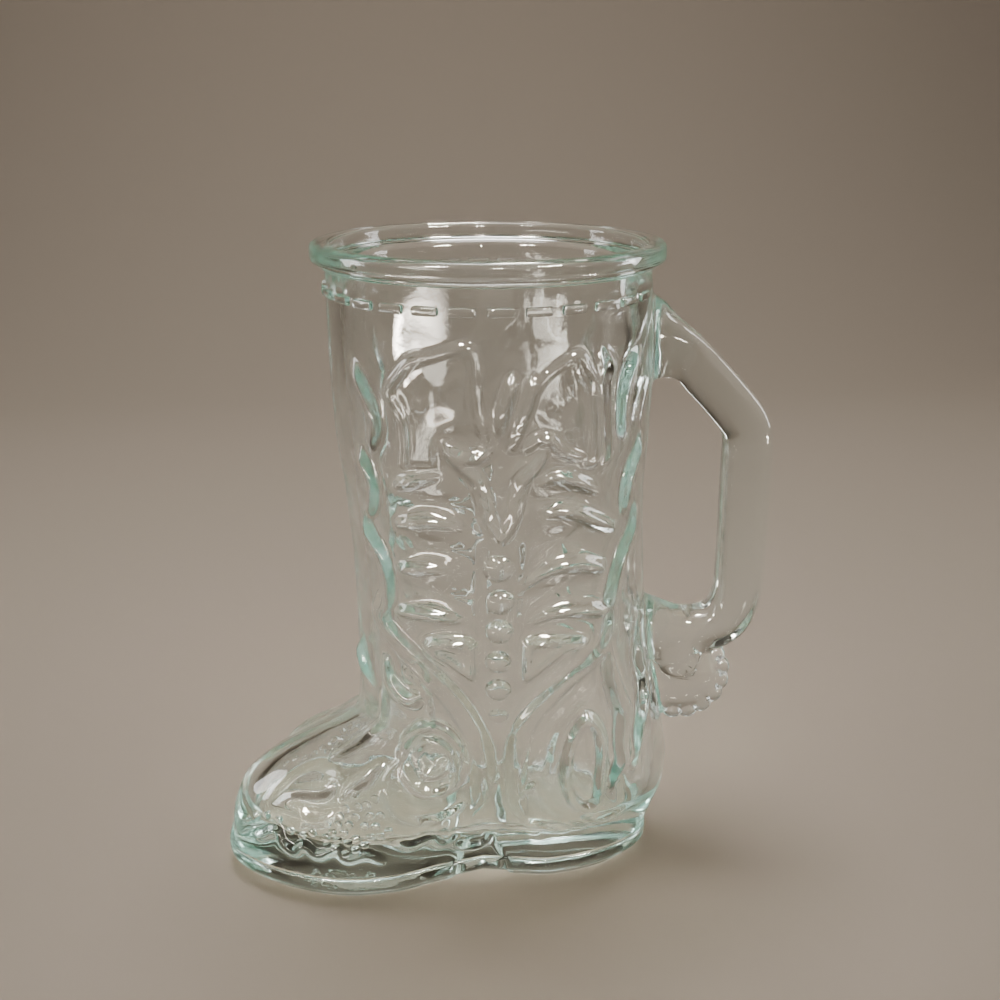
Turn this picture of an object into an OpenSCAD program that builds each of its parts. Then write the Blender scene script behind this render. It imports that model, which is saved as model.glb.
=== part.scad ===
// Beer mug pressed in clear glass in the shape of a western boot, with a D-shaped handle
// that ends in a spur rowel at the heel. Millimetres, +Z up, toe towards -X, handle towards +X.
// The boot is the same on both sides of the plane y = 0. The origin is on the table, under the
// middle of the mug's length. Each sub-part is one moulded region of the glass, closed by itself,
// and lies face to face with its neighbours.

/* [Rim] */
// Height of the whole mug, from the table to the rim
mug_h = 152.4; // [130:0.2:180]
// How far the lip stands out beyond the leg
lip_out = 3; // [2:0.1:5]
// Height of the lip and the step ring under it
lip_h = 5; // [3.5:0.1:7]
// How much further out the mouth's wall lies above the ledge inside it
ledge = 2.1; // [0.5:0.1:2.4]
// How far the small step ring under the lip stands out beyond the leg
step_out = 1.1; // [0.4:0.1:1.8]

/* [Leg] */
// Radius of the leg right under the lip
neck_r = 35; // [32:0.1:37]
// Reach of the ankle in front of the leg's axis
ankle_front = 31.6; // [29:0.1:35]
// Reach of the ankle behind the leg's axis
ankle_back = 40.2; // [37:0.1:43]
// Half-width of the ankle
ankle_side = 28.2; // [25:0.1:32]
// Thickness of the glass wall
wall = 3.4; // [2.4:0.1:4.4]

/* [Foot] */
// Height of the foot above the sole, up to the ankle
foot_h = 41; // [36:0.5:46]
// Reach of the toe in front of the leg's axis
toe_reach = 65; // [58:0.5:74]
// Reach of the heel counter behind the leg's axis
heel_reach = 44.6; // [43.6:0.1:47]
// Thickness of the glass floor inside the foot
floor_t = 6; // [3.5:0.5:9]
// Radius of the inside corner between floor and wall
floor_r = 4.5; // [2:0.5:7]

/* [Sole] */
// Width of the foot at the ball
ball_w = 49.5; // [44:0.5:56]
// Width of the foot at its waist
waist_w = 34; // [30:0.5:40]
// Width of the foot at the heel
heel_w = 43.5; // [38:0.5:48]
// Thickness of the outsole, which runs from toe to heel
outsole_t = 4.6; // [3:0.1:7]
// Thickness of the pads that the mug stands on
pad_t = 2.4; // [1.5:0.1:4]
// Overhang of the outsole round the foot
welt = 0.9; // [0.4:0.1:1.6]
// Radius that rounds the outsole's lower edge
sole_r = 2.2; // [1:0.1:3]
// Reach of the arch's front edge in front of the leg's axis
arch_front = 10.5; // [6:0.5:16]
// Place of the arch's back edge behind the leg's axis
arch_back = 3.5; // [0:0.5:8]

/* [Handle] */
// Outermost reach of the handle behind the leg's axis
handle_reach = 66.2; // [60:0.1:74]
// Width of the handle's bar
bar_w = 10.8; // [8.5:0.1:12.5]
// Thickness of the handle's bar across the boot
bar_t = 10.4; // [8.5:0.1:12.5]
// Distance from the rim down to where the handle leaves the leg
handle_drop = 21.4; // [18:0.2:30]
// Height above the table where the handle's lower end meets the ankle
handle_low = 57.6; // [52:0.5:66]

/* [Spur] */
// Radius of the spur rowel at its teeth
rowel_r = 12.2; // [10:0.1:14]
// Thickness of the rowel at its middle
rowel_t = 7.6; // [5:0.1:9.5]
// Thickness of the rowel's teeth
tooth_t = 4.4; // [2.5:0.1:6]
// Number of teeth round the rowel
teeth = 16; // [12:1:20]
// Place of the rowel's centre behind the leg's axis
rowel_x = 48; // [45:0.5:52]
// Height of the rowel's centre above the table
rowel_z = 45.5; // [40:0.5:50]
// Radius of the round boss where the shank holds the rowel
boss_r = 4.7; // [3:0.1:6]
// Thickness of the boss across the boot
boss_t = 9.2; // [8:0.1:10.4]

/* [Raised ornament] */
// Number of stitches in a full round under the lip
stitches = 30; // [24:1:36]
// Height of one stitch
stitch_h = 1.8; // [1:0.1:3]
// Distance from the lip down to the middle of the stitches
stitch_drop = 4.6; // [3:0.1:7]
// How far the stitches stand out of the leg
stitch_out = 0.7; // [0.4:0.1:1.2]
// Diameter of the buttons in the row down each side
button_d = 5.6; // [4:0.1:7]
// Distance between two buttons
button_pitch = 7.5; // [7.2:0.1:9]
// Number of buttons in a row
buttons = 5; // [3:1:5]
// How far the buttons stand out of the leg
button_out = 1.3; // [0.8:0.1:2]
// Distance from the top button up to the tulip's tip
tulip_gap = 3.8; // [2:0.1:6]
// Width of the rails and straps
rail_w = 4.6; // [3:0.1:6]
// How far the rails and straps stand out
rail_out = 1.5; // [0.6:0.1:2]
// How far the arched panels, the tulip and the pads stand out
panel_out = 1.1; // [0.5:0.1:1.6]
// Width of the bevel round a panel
panel_bevel = 1.2; // [0.6:0.1:1.8]
// Radius of a feather rib at its thick end
rib_r = 2; // [1.2:0.1:2.6]
// Outer radius of the scroll on the ankle
scroll_r = 8.8; // [7:0.1:10]
// Radius of the scroll's rounded ridge
scroll_ridge = 1.25; // [0.8:0.05:1.6]
// Number of turns in the scroll
scroll_turns = 1.75; // [1:0.25:2]

/* [Hidden] */

// Clear glass with a faint aqua tint, deeper where it is thick
clear = [0.86, 0.93, 0.92, 0.45];
thick = [0.78, 0.9, 0.88, 0.6];
raised = [0.9, 0.96, 0.95, 0.7];

sole_h = pad_t + outsole_t;
ankle_z = sole_h + foot_h;
leg_top = mug_h - lip_h;
leg_h = leg_top - ankle_z;
floor_z = sole_h + floor_t;
mouth_r = neck_r - wall;
// Runs past a surface that a piece is cut by or seated on
overrun = wall / 2;
handle_top = mug_h - handle_drop;
// The leg's axis, so that the mug's length has its middle over the origin
axis_x = (toe_reach + welt - handle_reach) / 2;

// Columns of points down one side of the boot: from the back to the back strap, across the strap,
// between the straps, across the front strap, and on to the front
back_columns = 6;
strap_columns = 3;
middle_columns = 8;
front_columns = 10;
side_n = back_columns + 2 * strap_columns + middle_columns + front_columns;
round_n = 2 * side_n;
sole_n = 44;
// Rings up the leg and the foot, outside and inside
leg_rings = 24;
foot_rings = 14;
leg_inner_rings = 5;
foot_inner_rings = 7;
bar_sides = 14;

// Leg, from ankle (0) to neck (1): how far the front, the back and the half-width have gone over
// from the ankle's size (0) to the neck's radius (1)
leg_front_shares = [[0, 0], [0.07, -0.06], [0.19, -0.06], [0.36, 0.06], [0.51, 0.38],
                    [0.65, 0.82], [0.83, 1], [1, 1]];
leg_back_shares = [[0, 0], [0.07, 0.29], [0.14, 0.48], [0.22, 0.63], [0.32, 0.77], [0.42, 0.88],
                   [0.5, 0.92], [0.6, 0.84], [0.7, 0.77], [0.83, 0.74], [1, 1]];
leg_side_shares = [[0, 0], [0.12, 0.2], [0.32, 0.5], [0.52, 0.74], [0.72, 0.91], [1, 1]];
// Foot, from sole (0) to ankle (1): the front from ankle (0) to toe (1), the back from ankle (0)
// to heel counter (1)
foot_front_shares = [[0, 1], [0.12, 0.99], [0.24, 0.95], [0.37, 0.88], [0.49, 0.735], [0.58, 0.565],
                     [0.67, 0.35], [0.745, 0.15], [0.805, 0.05], [0.88, 0.012], [1, 0]];
foot_back_shares = [[0, -0.3], [0.12, 0.32], [0.27, 0.89], [0.44, 1], [0.61, 0.77], [0.8, 0.39],
                    [1, 0]];
// Roundness of each slice's front and back end: 1 is an ellipse, less is blunter, more is sharper
front_end_shares = [[0, 0.62], [0.34, 1], [0.62, 1.55], [0.85, 1.25], [1, 1]];
back_end_shares = [[0, 0.7], [0.3, 0.95], [1, 1]];
// Half-width of the sole, from toe tip (0) to heel (1): from the waist's (0) to the ball's or
// the heel's (1)
waist_share = 0.566;
ball_shares = [[0, 0.26], [0.064, 0.58], [0.155, 0.86], [0.255, 1], [0.356, 0.83], [0.465, 0.34],
               [0.566, 0]];
heel_shares = [[0.566, 0], [0.65, 0.46], [0.72, 0.88], [0.81, 1], [1, 1]];

// Ornament on the side of the boot. Heights are shares of the leg's height above the ankle, and
// widths are shares of the neck's radius behind the leg's axis. A strap runs as a scalloped rail
// down the edge of the side, slants across the ankle and goes on down to the sole
front_strap_shares = [[-0.41, -0.08], [-0.3, -0.04], [-0.19, -0.03], [-0.08, -0.05], [-0.02, -0.05],
                      [0.047, -0.16], [0.107, -0.33], [0.178, -0.55], [0.24, -0.7], [0.35, -0.65],
                      [0.44, -0.72], [0.51, -0.76], [0.55, -0.69], [0.61, -0.7], [0.66, -0.75],
                      [0.72, -0.69], [0.81, -0.75], [0.86, -0.84], [1, -0.82]];
back_strap_shares = [[-0.41, 0.48], [-0.33, 0.32], [-0.23, 0.19], [-0.11, 0.12], [0, 0.11],
                     [0.056, 0.18], [0.11, 0.33], [0.17, 0.51], [0.235, 0.71], [0.3, 0.75],
                     [0.4, 0.78], [0.47, 0.86], [0.52, 0.78], [0.6, 0.75], [0.655, 0.8],
                     [0.71, 0.71], [0.8, 0.74], [0.86, 0.84], [1, 0.82]];
// Height of a strap above the skin along its length
strap_out_shares = [[-0.41, 0.2], [-0.36, 1], [0.8, 1], [0.87, 0]];
// The straps are narrowed where they come together
strap_gap_share = 0.4;
// Raised panels, from the lowest row up: height, front edge and back edge. A tall arched panel on
// each side of the middle, half a tulip from its tip up, a three-cornered pad, and the heel's drop
panel_front_shares = [[0.634, -0.53, -0.343], [0.654, -0.545, -0.337], [0.704, -0.557, -0.33],
                      [0.729, -0.566, -0.115], [0.785, -0.594, -0.13], [0.825, -0.55, -0.13],
                      [0.855, -0.486, -0.137], [0.875, -0.343, -0.157], [0.885, -0.26, -0.18]];
panel_back_shares = [[0.634, 0.386, 0.55], [0.654, 0.366, 0.57], [0.699, 0.33, 0.571],
                     [0.719, 0.214, 0.571], [0.765, 0.16, 0.566], [0.805, 0.197, 0.543],
                     [0.835, 0.27, 0.51], [0.857, 0.357, 0.474]];
tulip_shares = [[0, -0.017, 0.017], [0.017, -0.057, 0.009], [0.057, -0.094, -0.026],
                [0.108, -0.123, -0.045], [0.153, -0.2, -0.091], [0.178, -0.271, -0.157],
                [0.208, -0.311, -0.24]];
pad_shares = [[0.141, -0.19, -0.14], [0.161, -0.229, -0.137], [0.196, -0.386, -0.131],
              [0.226, -0.457, -0.14], [0.246, -0.371, -0.171]];
drop_shares = [[-0.287, 0.571, 0.686], [-0.262, 0.523, 0.714], [-0.211, 0.457, 0.723],
               [-0.141, 0.423, 0.726], [-0.07, 0.429, 0.726], [-0.02, 0.469, 0.671],
               [0.02, 0.523, 0.577]];
// Points across a panel between its bevels, the height of its edge, and the most of its width that
// one bevel takes
panel_columns_shares = [0, 0.5, 1];
panel_edge_share = 0.15;
bevel_most_share = 1 / 3;
// Slim teardrops: height and place of the thick end, then of the thin end. The feather ribs point
// to the buttons, two slim drops hang between the panels, and leaves lie round the scroll
rib_shares = [[0.59, -0.58, 0.6, -0.3], [0.51, -0.58, 0.505, -0.29], [0.4, -0.58, 0.395, -0.25],
              [0.305, -0.58, 0.285, -0.22], [0.59, 0.61, 0.6, 0.24], [0.505, 0.65, 0.515, 0.33],
              [0.41, 0.65, 0.385, 0.18], [0.305, 0.61, 0.29, 0.15]];
slim_drop_shares = [[0.815, 0.034, 0.735, -0.003], [0.81, 0.15, 0.72, 0.086]];
leaf_shares = [[0.06, -0.57, 0.13, -0.66], [-0.241, -1.39, -0.18, -1.18]];
// Thin end of a teardrop, its height and its top, as shares of its radius
drop_tip_share = 0.45;
drop_top_shares = [0.75, 0.5];
// Sides of the thick and the thin end of a teardrop, and of a scroll's ridge
drop_sides = 6;
tip_sides = 5;
ridge_sides = 6;
// Lowest button, and a stitch's length in its pitch
button_share = 0.118;
stitch_share = 0.72;
// Scroll on the ankle: its centre, its width in its height, its inner end, and its first angle
scroll_at_shares = [-0.417, -0.088];
scroll_flat_share = 0.8;
scroll_in_share = 0.25;
scroll_start = -20;
scroll_segments = 7;
// Curl under the scroll
curl_shares = [[-0.13, -0.686], [-0.165, -0.729], [-0.214, -0.691], [-0.251, -0.554], [-0.255, -0.397],
               [-0.22, -0.237]];

// Lip, as shares of its height: radius of its rounded edges, lower and upper edge of the step ring,
// and the groove between ring and lip, whose depth is a share of the ring's reach
lip_roll_share = 0.22;
step_shares = [0.06, 0.15];
groove_shares = [0.19, 0.62];
// Slope from the ledge down into the leg: height in the lip's, and share of the ledge's width
ledge_shares = [[0.44, 1], [0.3, 0.9], [0.19, 0.55], [0.09, 0.15]];
lip_sides = 96;
// Under the instep the glass is measured this share of its thickness higher up, square to the slope
instep_share = 0.8;
// Rings of the hollow foot lie closer together at its floor
floor_crowd = 1.2;
// Rings of the sole: up its rounded edge, and up a pad. Its top slants in by a share of the welt, and
// the pads' ends at the arch have blunt corners
outsole_steps = 4;
pad_steps = 2;
welt_slant_share = 1 / 3;
arch_corner_share = 0.25;
// Stitches are left out this far from the handle, as a share of its bar
stitch_gap_share = 0.8;
stitch_edge_share = 0.01;
// Rowel: depth of a notch and radius of its flat middle, and the boss's place from its centre
rowel_notch_share = 0.16;
rowel_hub_share = 0.66;
boss_at_shares = [-0.15, 0.5];
boss_sides = 20;
// Top of a button, as a share of its diameter
button_top_share = 0.5;
button_sides = 12;

// Handle's centre line: share of the reach, share of the height between its two ends, and the
// bar's thickness there
handle_shares = [[0.43, 1.1, 1.3], [0.506, 1.006, 1.75], [0.665, 0.94, 1.05], [0.745, 0.873, 1],
                 [0.845, 0.775, 1], [0.89, 0.72, 1], [0.908, 0.655, 1], [0.914, 0.45, 1],
                 [0.918, 0.22, 1], [0.912, 0.13, 1], [0.88, 0.055, 1], [0.82, 0.015, 1],
                 [0.72, 0, 1.05], [0.62, 0.01, 1.25], [0.52, 0.035, 1.5]];
bar_flat_share = 0.8;

function mix(a, b, k) = a + (b - a) * k;
function ease(k) = let (c = min(max(k, 0), 1)) c * c * (3 - 2 * c);

// Smooth curve through a table of [place, value], level where the table turns
function slope(t, i) = (t[i + 1][1] - t[i][1]) / (t[i + 1][0] - t[i][0]);
function tangent(t, i) =
    i == 0 ? slope(t, 0)
    : i == len(t) - 1 ? slope(t, i - 1)
    : let (a = slope(t, i - 1), b = slope(t, i)) a * b <= 0 ? 0 : 2 * a * b / (a + b);
function span_at(t, q, i = 0) = i >= len(t) - 2 || q < t[i + 1][0] ? i : span_at(t, q, i + 1);
function curve(t, place) =
    let (q = min(max(place, t[0][0]), t[len(t) - 1][0]), i = span_at(t, q),
         h = t[i + 1][0] - t[i][0], k = (q - t[i][0]) / h)
    (1 + 2 * k) * pow(1 - k, 2) * t[i][1] + k * pow(1 - k, 2) * h * tangent(t, i)
    + k * k * (3 - 2 * k) * t[i + 1][1] + k * k * (k - 1) * h * tangent(t, i + 1);

// Shape of the boot at height z, seen from the side and from the front
function on_leg(z) = (z - ankle_z) / leg_h;
function on_foot(z) = (z - sole_h) / foot_h;
function front_x(z) =
    z >= ankle_z ? -mix(ankle_front, neck_r, curve(leg_front_shares, on_leg(z)))
    : -mix(ankle_front, toe_reach, curve(foot_front_shares, on_foot(z)));
function back_x(z) =
    z >= ankle_z ? mix(ankle_back, neck_r, curve(leg_back_shares, on_leg(z)))
    : mix(ankle_back, heel_reach, curve(foot_back_shares, on_foot(z)));
function sole_side(x) =
    let (s = (x + toe_reach) / (toe_reach + heel_reach))
    s < waist_share ? mix(waist_w, ball_w, curve(ball_shares, s)) / 2
    : mix(waist_w, heel_w, curve(heel_shares, s)) / 2;
function side_y(x, z) =
    z >= ankle_z ? mix(ankle_side, neck_r, curve(leg_side_shares, on_leg(z)))
    : mix(sole_side(x), ankle_side, ease(on_foot(z)));

// Place of a strap's middle at height z, and half its width there
function strap_x(shares, z) = neck_r * curve(shares, on_leg(z));
function strap_half(z) =
    min(rail_w / 2, strap_gap_share * (strap_x(back_strap_shares, z) - strap_x(front_strap_shares, z)));

// Columns down one side, from the back (0) to the front (180): [angle, share of a strap's height]
function side_columns(z) =
    let (front = front_x(z), back = back_x(z), half = strap_half(z),
         near_back = strap_x(back_strap_shares, z), near_front = strap_x(front_strap_shares, z),
         at = [for (x = [near_back + half, near_back - half, near_front + half, near_front - half])
             acos((2 * x - front - back) / (back - front))])
    concat([for (i = [0 : back_columns - 1]) [at[0] * i / back_columns, 0]],
           [for (i = [0 : strap_columns - 1]) [mix(at[0], at[1], i / strap_columns), i == 0 ? 0 : 1]],
           [for (i = [0 : middle_columns - 1]) [mix(at[1], at[2], i / middle_columns), 0]],
           [for (i = [0 : strap_columns - 1]) [mix(at[2], at[3], i / strap_columns), i == 0 ? 0 : 1]],
           [for (i = [0 : front_columns]) [mix(at[3], 180, i / front_columns), 0]]);
function columns(z) =
    let (side = side_columns(z))
    concat(side, [for (i = [side_n - 1 : -1 : 1]) [360 - side[i][0], side[i][1]]]);

// One point of a slice between a front and a back end, drawn in by an inset
function slice_point(angle, z, front, back, inset) =
    let (x = mix(front, back, (1 + cos(angle)) / 2), s = sin(angle),
         end = curve(cos(angle) < 0 ? front_end_shares : back_end_shares, on_foot(z)),
         y = (side_y(x, z) - inset) * pow(abs(s), end))
    [x, s < 0 ? -y : y];

// How far a strap stands out of the skin at height z
function relief(z, strap) = strap * rail_out * curve(strap_out_shares, on_leg(z));

// One ring of the outer skin at height z, with the ornament standing out square to the slice
function outer_ring(z) =
    let (at = columns(z), n = round_n,
         flat = [for (c = at) slice_point(c[0], z, front_x(z), back_x(z), 0)])
    [for (i = [0 : n - 1])
        let (p = flat[i], d = flat[(i + 1) % n] - flat[(i + n - 1) % n],
             out = relief(z, at[i][1]) * [d[1], -d[0]] / norm(d))
        [p[0] + out[0], p[1] + out[1], z]];
// One ring of the inside. Under the instep the glass is measured square to the slope
function inner_ring(z, inset) =
    [for (c = columns(z))
        let (p = slice_point(c[0], z, front_x(z + instep_share * inset) + inset, back_x(z) - inset, inset))
        [p[0], p[1], z]];
function rounding(k) = 1 - sqrt(1 - pow(1 - min(k, 1), 2));

leg_outer = [for (i = [0 : leg_rings]) outer_ring(mix(ankle_z, leg_top, i / leg_rings))];
foot_outer = [for (i = [0 : foot_rings]) outer_ring(mix(sole_h, ankle_z, i / foot_rings))];
leg_inner = [for (i = [0 : leg_inner_rings])
    inner_ring(mix(ankle_z, leg_top, i / leg_inner_rings), wall)];
foot_inner = [for (i = [0 : foot_inner_rings])
    let (z = mix(floor_z, ankle_z, pow(i / foot_inner_rings, floor_crowd)))
    inner_ring(z, wall + floor_r * rounding((z - floor_z) / floor_r))];

// Faces between rings of n points, numbered upwards from first
function band(first, n, up) = [for (i = [0 : n - 1])
    let (a = first + i, b = first + (i + 1) % n, c = b + n, d = a + n)
    each up ? [[a, d, c], [a, c, b]] : [[a, c, d], [a, b, c]]];
function skin_faces(first, n, rings, up) = [for (k = [0 : rings - 1]) each band(first + k * n, n, up)];
function cap(first, n, up) = [[for (i = [0 : n - 1]) first + (up ? n - 1 - i : i)]];
// Flat faces between an outer ring and an inner one
function rim_faces(outer, inner, n, up) = [for (i = [0 : n - 1])
    let (a = outer + i, b = outer + (i + 1) % n, c = inner + (i + 1) % n, d = inner + i)
    each up ? [[a, d, c], [a, c, b]] : [[a, c, d], [a, b, c]]];

function flatten(rings) = [for (ring = rings) each ring];

// Puts a piece of glass where it lies on the table: the boot's own shapes are drawn about the
// leg's axis
module glass(tint) {
    color(tint) translate([axis_x, 0, 0]) children();
}

// A closed solid between flat ends
module skin_solid(rings) {
    n = len(rings[0]);
    k = len(rings) - 1;
    polyhedron(flatten(rings), concat(cap(0, n, false), skin_faces(0, n, k, true), cap(k * n, n, true)));
}

// The boot without its hollow, to seat other pieces on
module boot_solid() {
    skin_solid(concat(foot_outer, [for (i = [1 : leg_rings]) leg_outer[i]]));
}

module rim_lip() {
    roll = lip_roll_share * lip_h;
    step = neck_r + step_out;
    outer = neck_r + lip_out - roll;
    inner = min(mouth_r + ledge + roll, outer);
    glass(clear)
    translate([0, 0, leg_top])
    rotate_extrude($fn = lip_sides)
    polygon([
        [mouth_r, 0], [neck_r, 0], [step, step_shares[0] * lip_h], [step, step_shares[1] * lip_h],
        [neck_r + groove_shares[1] * step_out, groove_shares[0] * lip_h],
        for (a = [-75 : 15 : 0]) [outer + roll * cos(a), 2 * roll + roll * sin(a)],
        for (a = [0 : 15 : 90]) [outer + roll * cos(a), lip_h - roll + roll * sin(a)],
        for (a = [90 : 15 : 180]) [inner + roll * cos(a), lip_h - roll + roll * sin(a)],
        for (q = ledge_shares) [mix(mouth_r, inner - roll, q[1]), q[0] * lip_h],
    ]);
}

module boot_leg() {
    outer = (leg_rings + 1) * round_n;
    glass(clear)
    polyhedron(flatten(concat(leg_outer, leg_inner)), concat(
        skin_faces(0, round_n, leg_rings, true),
        skin_faces(outer, round_n, leg_inner_rings, false),
        rim_faces(0, outer, round_n, false),
        rim_faces(leg_rings * round_n, outer + leg_inner_rings * round_n, round_n, true)));
}

module boot_foot() {
    outer = (foot_rings + 1) * round_n;
    glass(clear)
    polyhedron(flatten(concat(foot_outer, foot_inner)), concat(
        cap(0, round_n, false),
        skin_faces(0, round_n, foot_rings, true),
        skin_faces(outer, round_n, foot_inner_rings, false),
        cap(outer, round_n, true),
        rim_faces(foot_rings * round_n, outer + foot_inner_rings * round_n, round_n, true)));
}

// Half-width of the outsole at x, drawn in by an inset
sole_front = -toe_reach - welt;
sole_back = back_x(sole_h) + welt;
function sole_edge(x, inset) =
    let (front = sole_front + inset, back = sole_back - inset,
         c = max(min((2 * x - front - back) / (back - front), 1), -1),
         end = c < 0 ? front_end_shares[0][1] : back_end_shares[0][1])
    (sole_side(x) + welt - inset) * pow(1 - c * c, end / 2);
// One ring of the sole between two ends. A blunt end is cut across, with round corners
function sole_ring(z, front, back, inset, blunt_front, blunt_back) =
    [for (i = [0 : sole_n - 1])
        let (angle = 360 * i / sole_n, s = sin(angle),
             x = mix(front, back, (1 + cos(angle)) / 2),
             corner = cos(angle) < 0 ? blunt_front : blunt_back,
             y = sole_edge(x, inset) * pow(abs(s), corner))
        [x, s < 0 ? -y : y, z]];

module outsole() {
    slant = welt_slant_share * welt;
    glass(thick)
    skin_solid(concat(
        [for (i = [0 : outsole_steps]) let (k = i / outsole_steps, inset = sole_r * rounding(k))
            sole_ring(pad_t + sole_r * k, sole_front + inset, sole_back - inset, inset, 0, 0)],
        [sole_ring(sole_h, sole_front + slant, sole_back - slant, slant, 0, 0)]));
}

// Pads under the outsole, round at the toe and heel and cut across at the arch
function pad_inset(k) = sole_r + pad_t / 2 * rounding(k);

module sole_pad() {
    glass(thick)
    skin_solid([for (i = [0 : pad_steps]) let (k = i / pad_steps, inset = pad_inset(k))
        sole_ring(pad_t * k, sole_front + inset, -arch_front - inset + sole_r, inset, 0, arch_corner_share)]);
}

module heel_pad() {
    glass(thick)
    skin_solid([for (i = [0 : pad_steps]) let (k = i / pad_steps, inset = pad_inset(k))
        sole_ring(pad_t * k, arch_back + inset - sole_r, sole_back - inset, inset, arch_corner_share, 0)]);
}

// Smooth line through places, with steps between each two
function smooth_line(p, steps) =
    let (last = len(p) - 1)
    [for (i = [0 : last - 1], j = [0 : steps - 1])
        let (k = j / steps, a = p[max(i - 1, 0)], b = p[i], c = p[i + 1], d = p[min(i + 2, last)])
        b + k / 2 * (c - a + k * (2 * a - 5 * b + 4 * c - d + k * (3 * b - 3 * c + d - a))),
     p[last]];
// Side of the bar's section: the faces are flattened, and the edges between them are round
function flattened(c) = sign(c) * pow(abs(c), bar_flat_share);

// The bar is lofted square to its centre line, in the middle plane of the boot
module handle_bar() {
    line = smooth_line([for (q = handle_shares)
        [q[0] * handle_reach, mix(handle_low, handle_top, q[1]), q[2]]], 2);
    last = len(line) - 1;
    skin_solid([for (i = [0 : last])
        let (p = line[i], d = line[min(i + 1, last)] - line[max(i - 1, 0)], long = norm([d[0], d[1]]))
        [for (j = [0 : bar_sides - 1])
            let (a = 360 * (j + 0.5) / bar_sides, u = p[2] * bar_w / 2 * flattened(cos(a)) / long)
            [p[0] + u * d[1], p[2] * bar_t / 2 * flattened(sin(a)), p[1] - u * d[0]]]]);
}

module handle() {
    glass(thick)
    difference() {
        handle_bar();
        boot_solid();
    }
}

// One ring of the rowel: round lobes with a sharp notch between each two
function rowel_ring(z, r, notch) =
    [for (i = [0 : 4 * teeth - 1])
        let (a = 90 * i / teeth, lobe = r - notch * (1 - abs(cos(teeth * a / 2))))
        [lobe * cos(a), lobe * sin(a), z]];

module spur_rowel() {
    notch = rowel_notch_share * rowel_r;
    hub = rowel_hub_share * rowel_r;
    glass(raised)
    difference() {
        union() {
            translate([rowel_x, 0, rowel_z])
                rotate([90, 0, 0])
                    skin_solid([rowel_ring(-rowel_t / 2, hub, 0),
                                rowel_ring(-tooth_t / 2, rowel_r, notch),
                                rowel_ring(tooth_t / 2, rowel_r, notch),
                                rowel_ring(rowel_t / 2, hub, 0)]);
            translate([rowel_x + boss_at_shares[0] * rowel_r, 0, rowel_z + boss_at_shares[1] * rowel_r])
                rotate([90, 0, 0])
                    cylinder(h = boss_t, r = boss_r, center = true, $fn = boss_sides);
        }
        boot_solid();
        handle_bar();
    }
}

// Stitches all round under the lip, but for those where the handle leaves the leg
module stitch_row() {
    z = leg_top - stitch_drop;
    turn = 360 / stitches;
    gap = asin(stitch_gap_share * bar_w / neck_r);
    glass(raised)
    difference() {
        for (i = [0 : stitches - 1]) let (mid = turn * (i + 0.5))
            if (min(mid, 360 - mid) > gap + turn / 2)
                hull()
                    for (side = [-1, 1])
                        rotate([0, 0, mid + side * turn * stitch_share / 2])
                            translate([neck_r - overrun, 0, z - stitch_h / 2])
                                cube([overrun + stitch_out, stitch_edge_share * stitch_h, stitch_h]);
        boot_solid();
    }
}

// Half-width of the bare skin at a place on the side
function skin_y(x, z) =
    let (c = (2 * x - front_x(z) - back_x(z)) / (back_x(z) - front_x(z)))
    slice_point(acos(c), z, front_x(z), back_x(z), 0)[1];

module both_sides() {
    children();
    mirror([0, 1, 0]) children();
}

// A raised panel on the side, bevelled all round, through rows of [height, front edge, back edge]
module panel(rows) {
    last = len(rows) - 1;
    skin_solid([for (i = [0 : last])
        let (z = ankle_z + rows[i][0] * leg_h, front = rows[i][1] * neck_r, back = rows[i][2] * neck_r,
             bevel = min(panel_bevel, bevel_most_share * (back - front)), full = i > 0 && i < last,
             inner = [for (k = panel_columns_shares) mix(front + bevel, back - bevel, k)],
             top = concat([[front, 0]], [for (x = inner) [x, full ? 1 : 0]], [[back, 0]]))
        concat([for (q = top) [q[0], -skin_y(q[0], z) - mix(panel_edge_share, 1, q[1]) * panel_out, z]],
               [for (i = [len(top) - 1 : -1 : 0]) [top[i][0], overrun - skin_y(top[i][0], z), z]])]);
}
function mirrored(rows) = [for (q = rows) [q[0], -q[2], -q[1]]];
function lifted(rows, share) = [for (q = rows) [q[0] + share, q[1], q[2]]];
function button_z(i) = ankle_z + button_share * leg_h + i * button_pitch;

module raised_panels() {
    tulip = lifted(tulip_shares, on_leg(button_z(buttons - 1) + button_d / 2 + tulip_gap));
    glass(raised)
    difference() {
        both_sides() {
            for (rows = [panel_front_shares, panel_back_shares, tulip, mirrored(tulip),
                         pad_shares, mirrored(pad_shares), drop_shares])
                panel(rows);
            for (q = slim_drop_shares) teardrop(q);
        }
        boot_solid();
    }
}

module button_rows() {
    glass(raised)
    difference() {
        both_sides()
            for (i = [0 : buttons - 1])
                translate([0, -skin_y(0, button_z(i)), button_z(i)])
                    rotate([90, 0, 0])
                        hull($fn = button_sides) {
                            translate([0, 0, -overrun]) cylinder(h = overrun, d = button_d);
                            cylinder(h = button_out, d = button_top_share * button_d);
                        }
        boot_solid();
    }
}

// A low dome that faces -Y, over a foot that reaches into the wall
module knob(r, n) {
    rotate([90, 0, 0]) {
        translate([0, 0, -overrun]) cylinder(h = overrun, r = r, $fn = n);
        cylinder(h = drop_top_shares[0] * r, r = drop_top_shares[1] * r, $fn = n);
    }
}

// Puts a shape on the side's skin, at a place given as [height, width] shares
module on_side(q) {
    x = q[1] * neck_r;
    z = ankle_z + q[0] * leg_h;
    translate([x, -skin_y(x, z), z]) children();
}

module teardrop(q) {
    hull() {
        on_side([q[0], q[1]]) knob(rib_r, drop_sides);
        on_side([q[2], q[3]]) knob(drop_tip_share * rib_r, tip_sides);
    }
}

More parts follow.
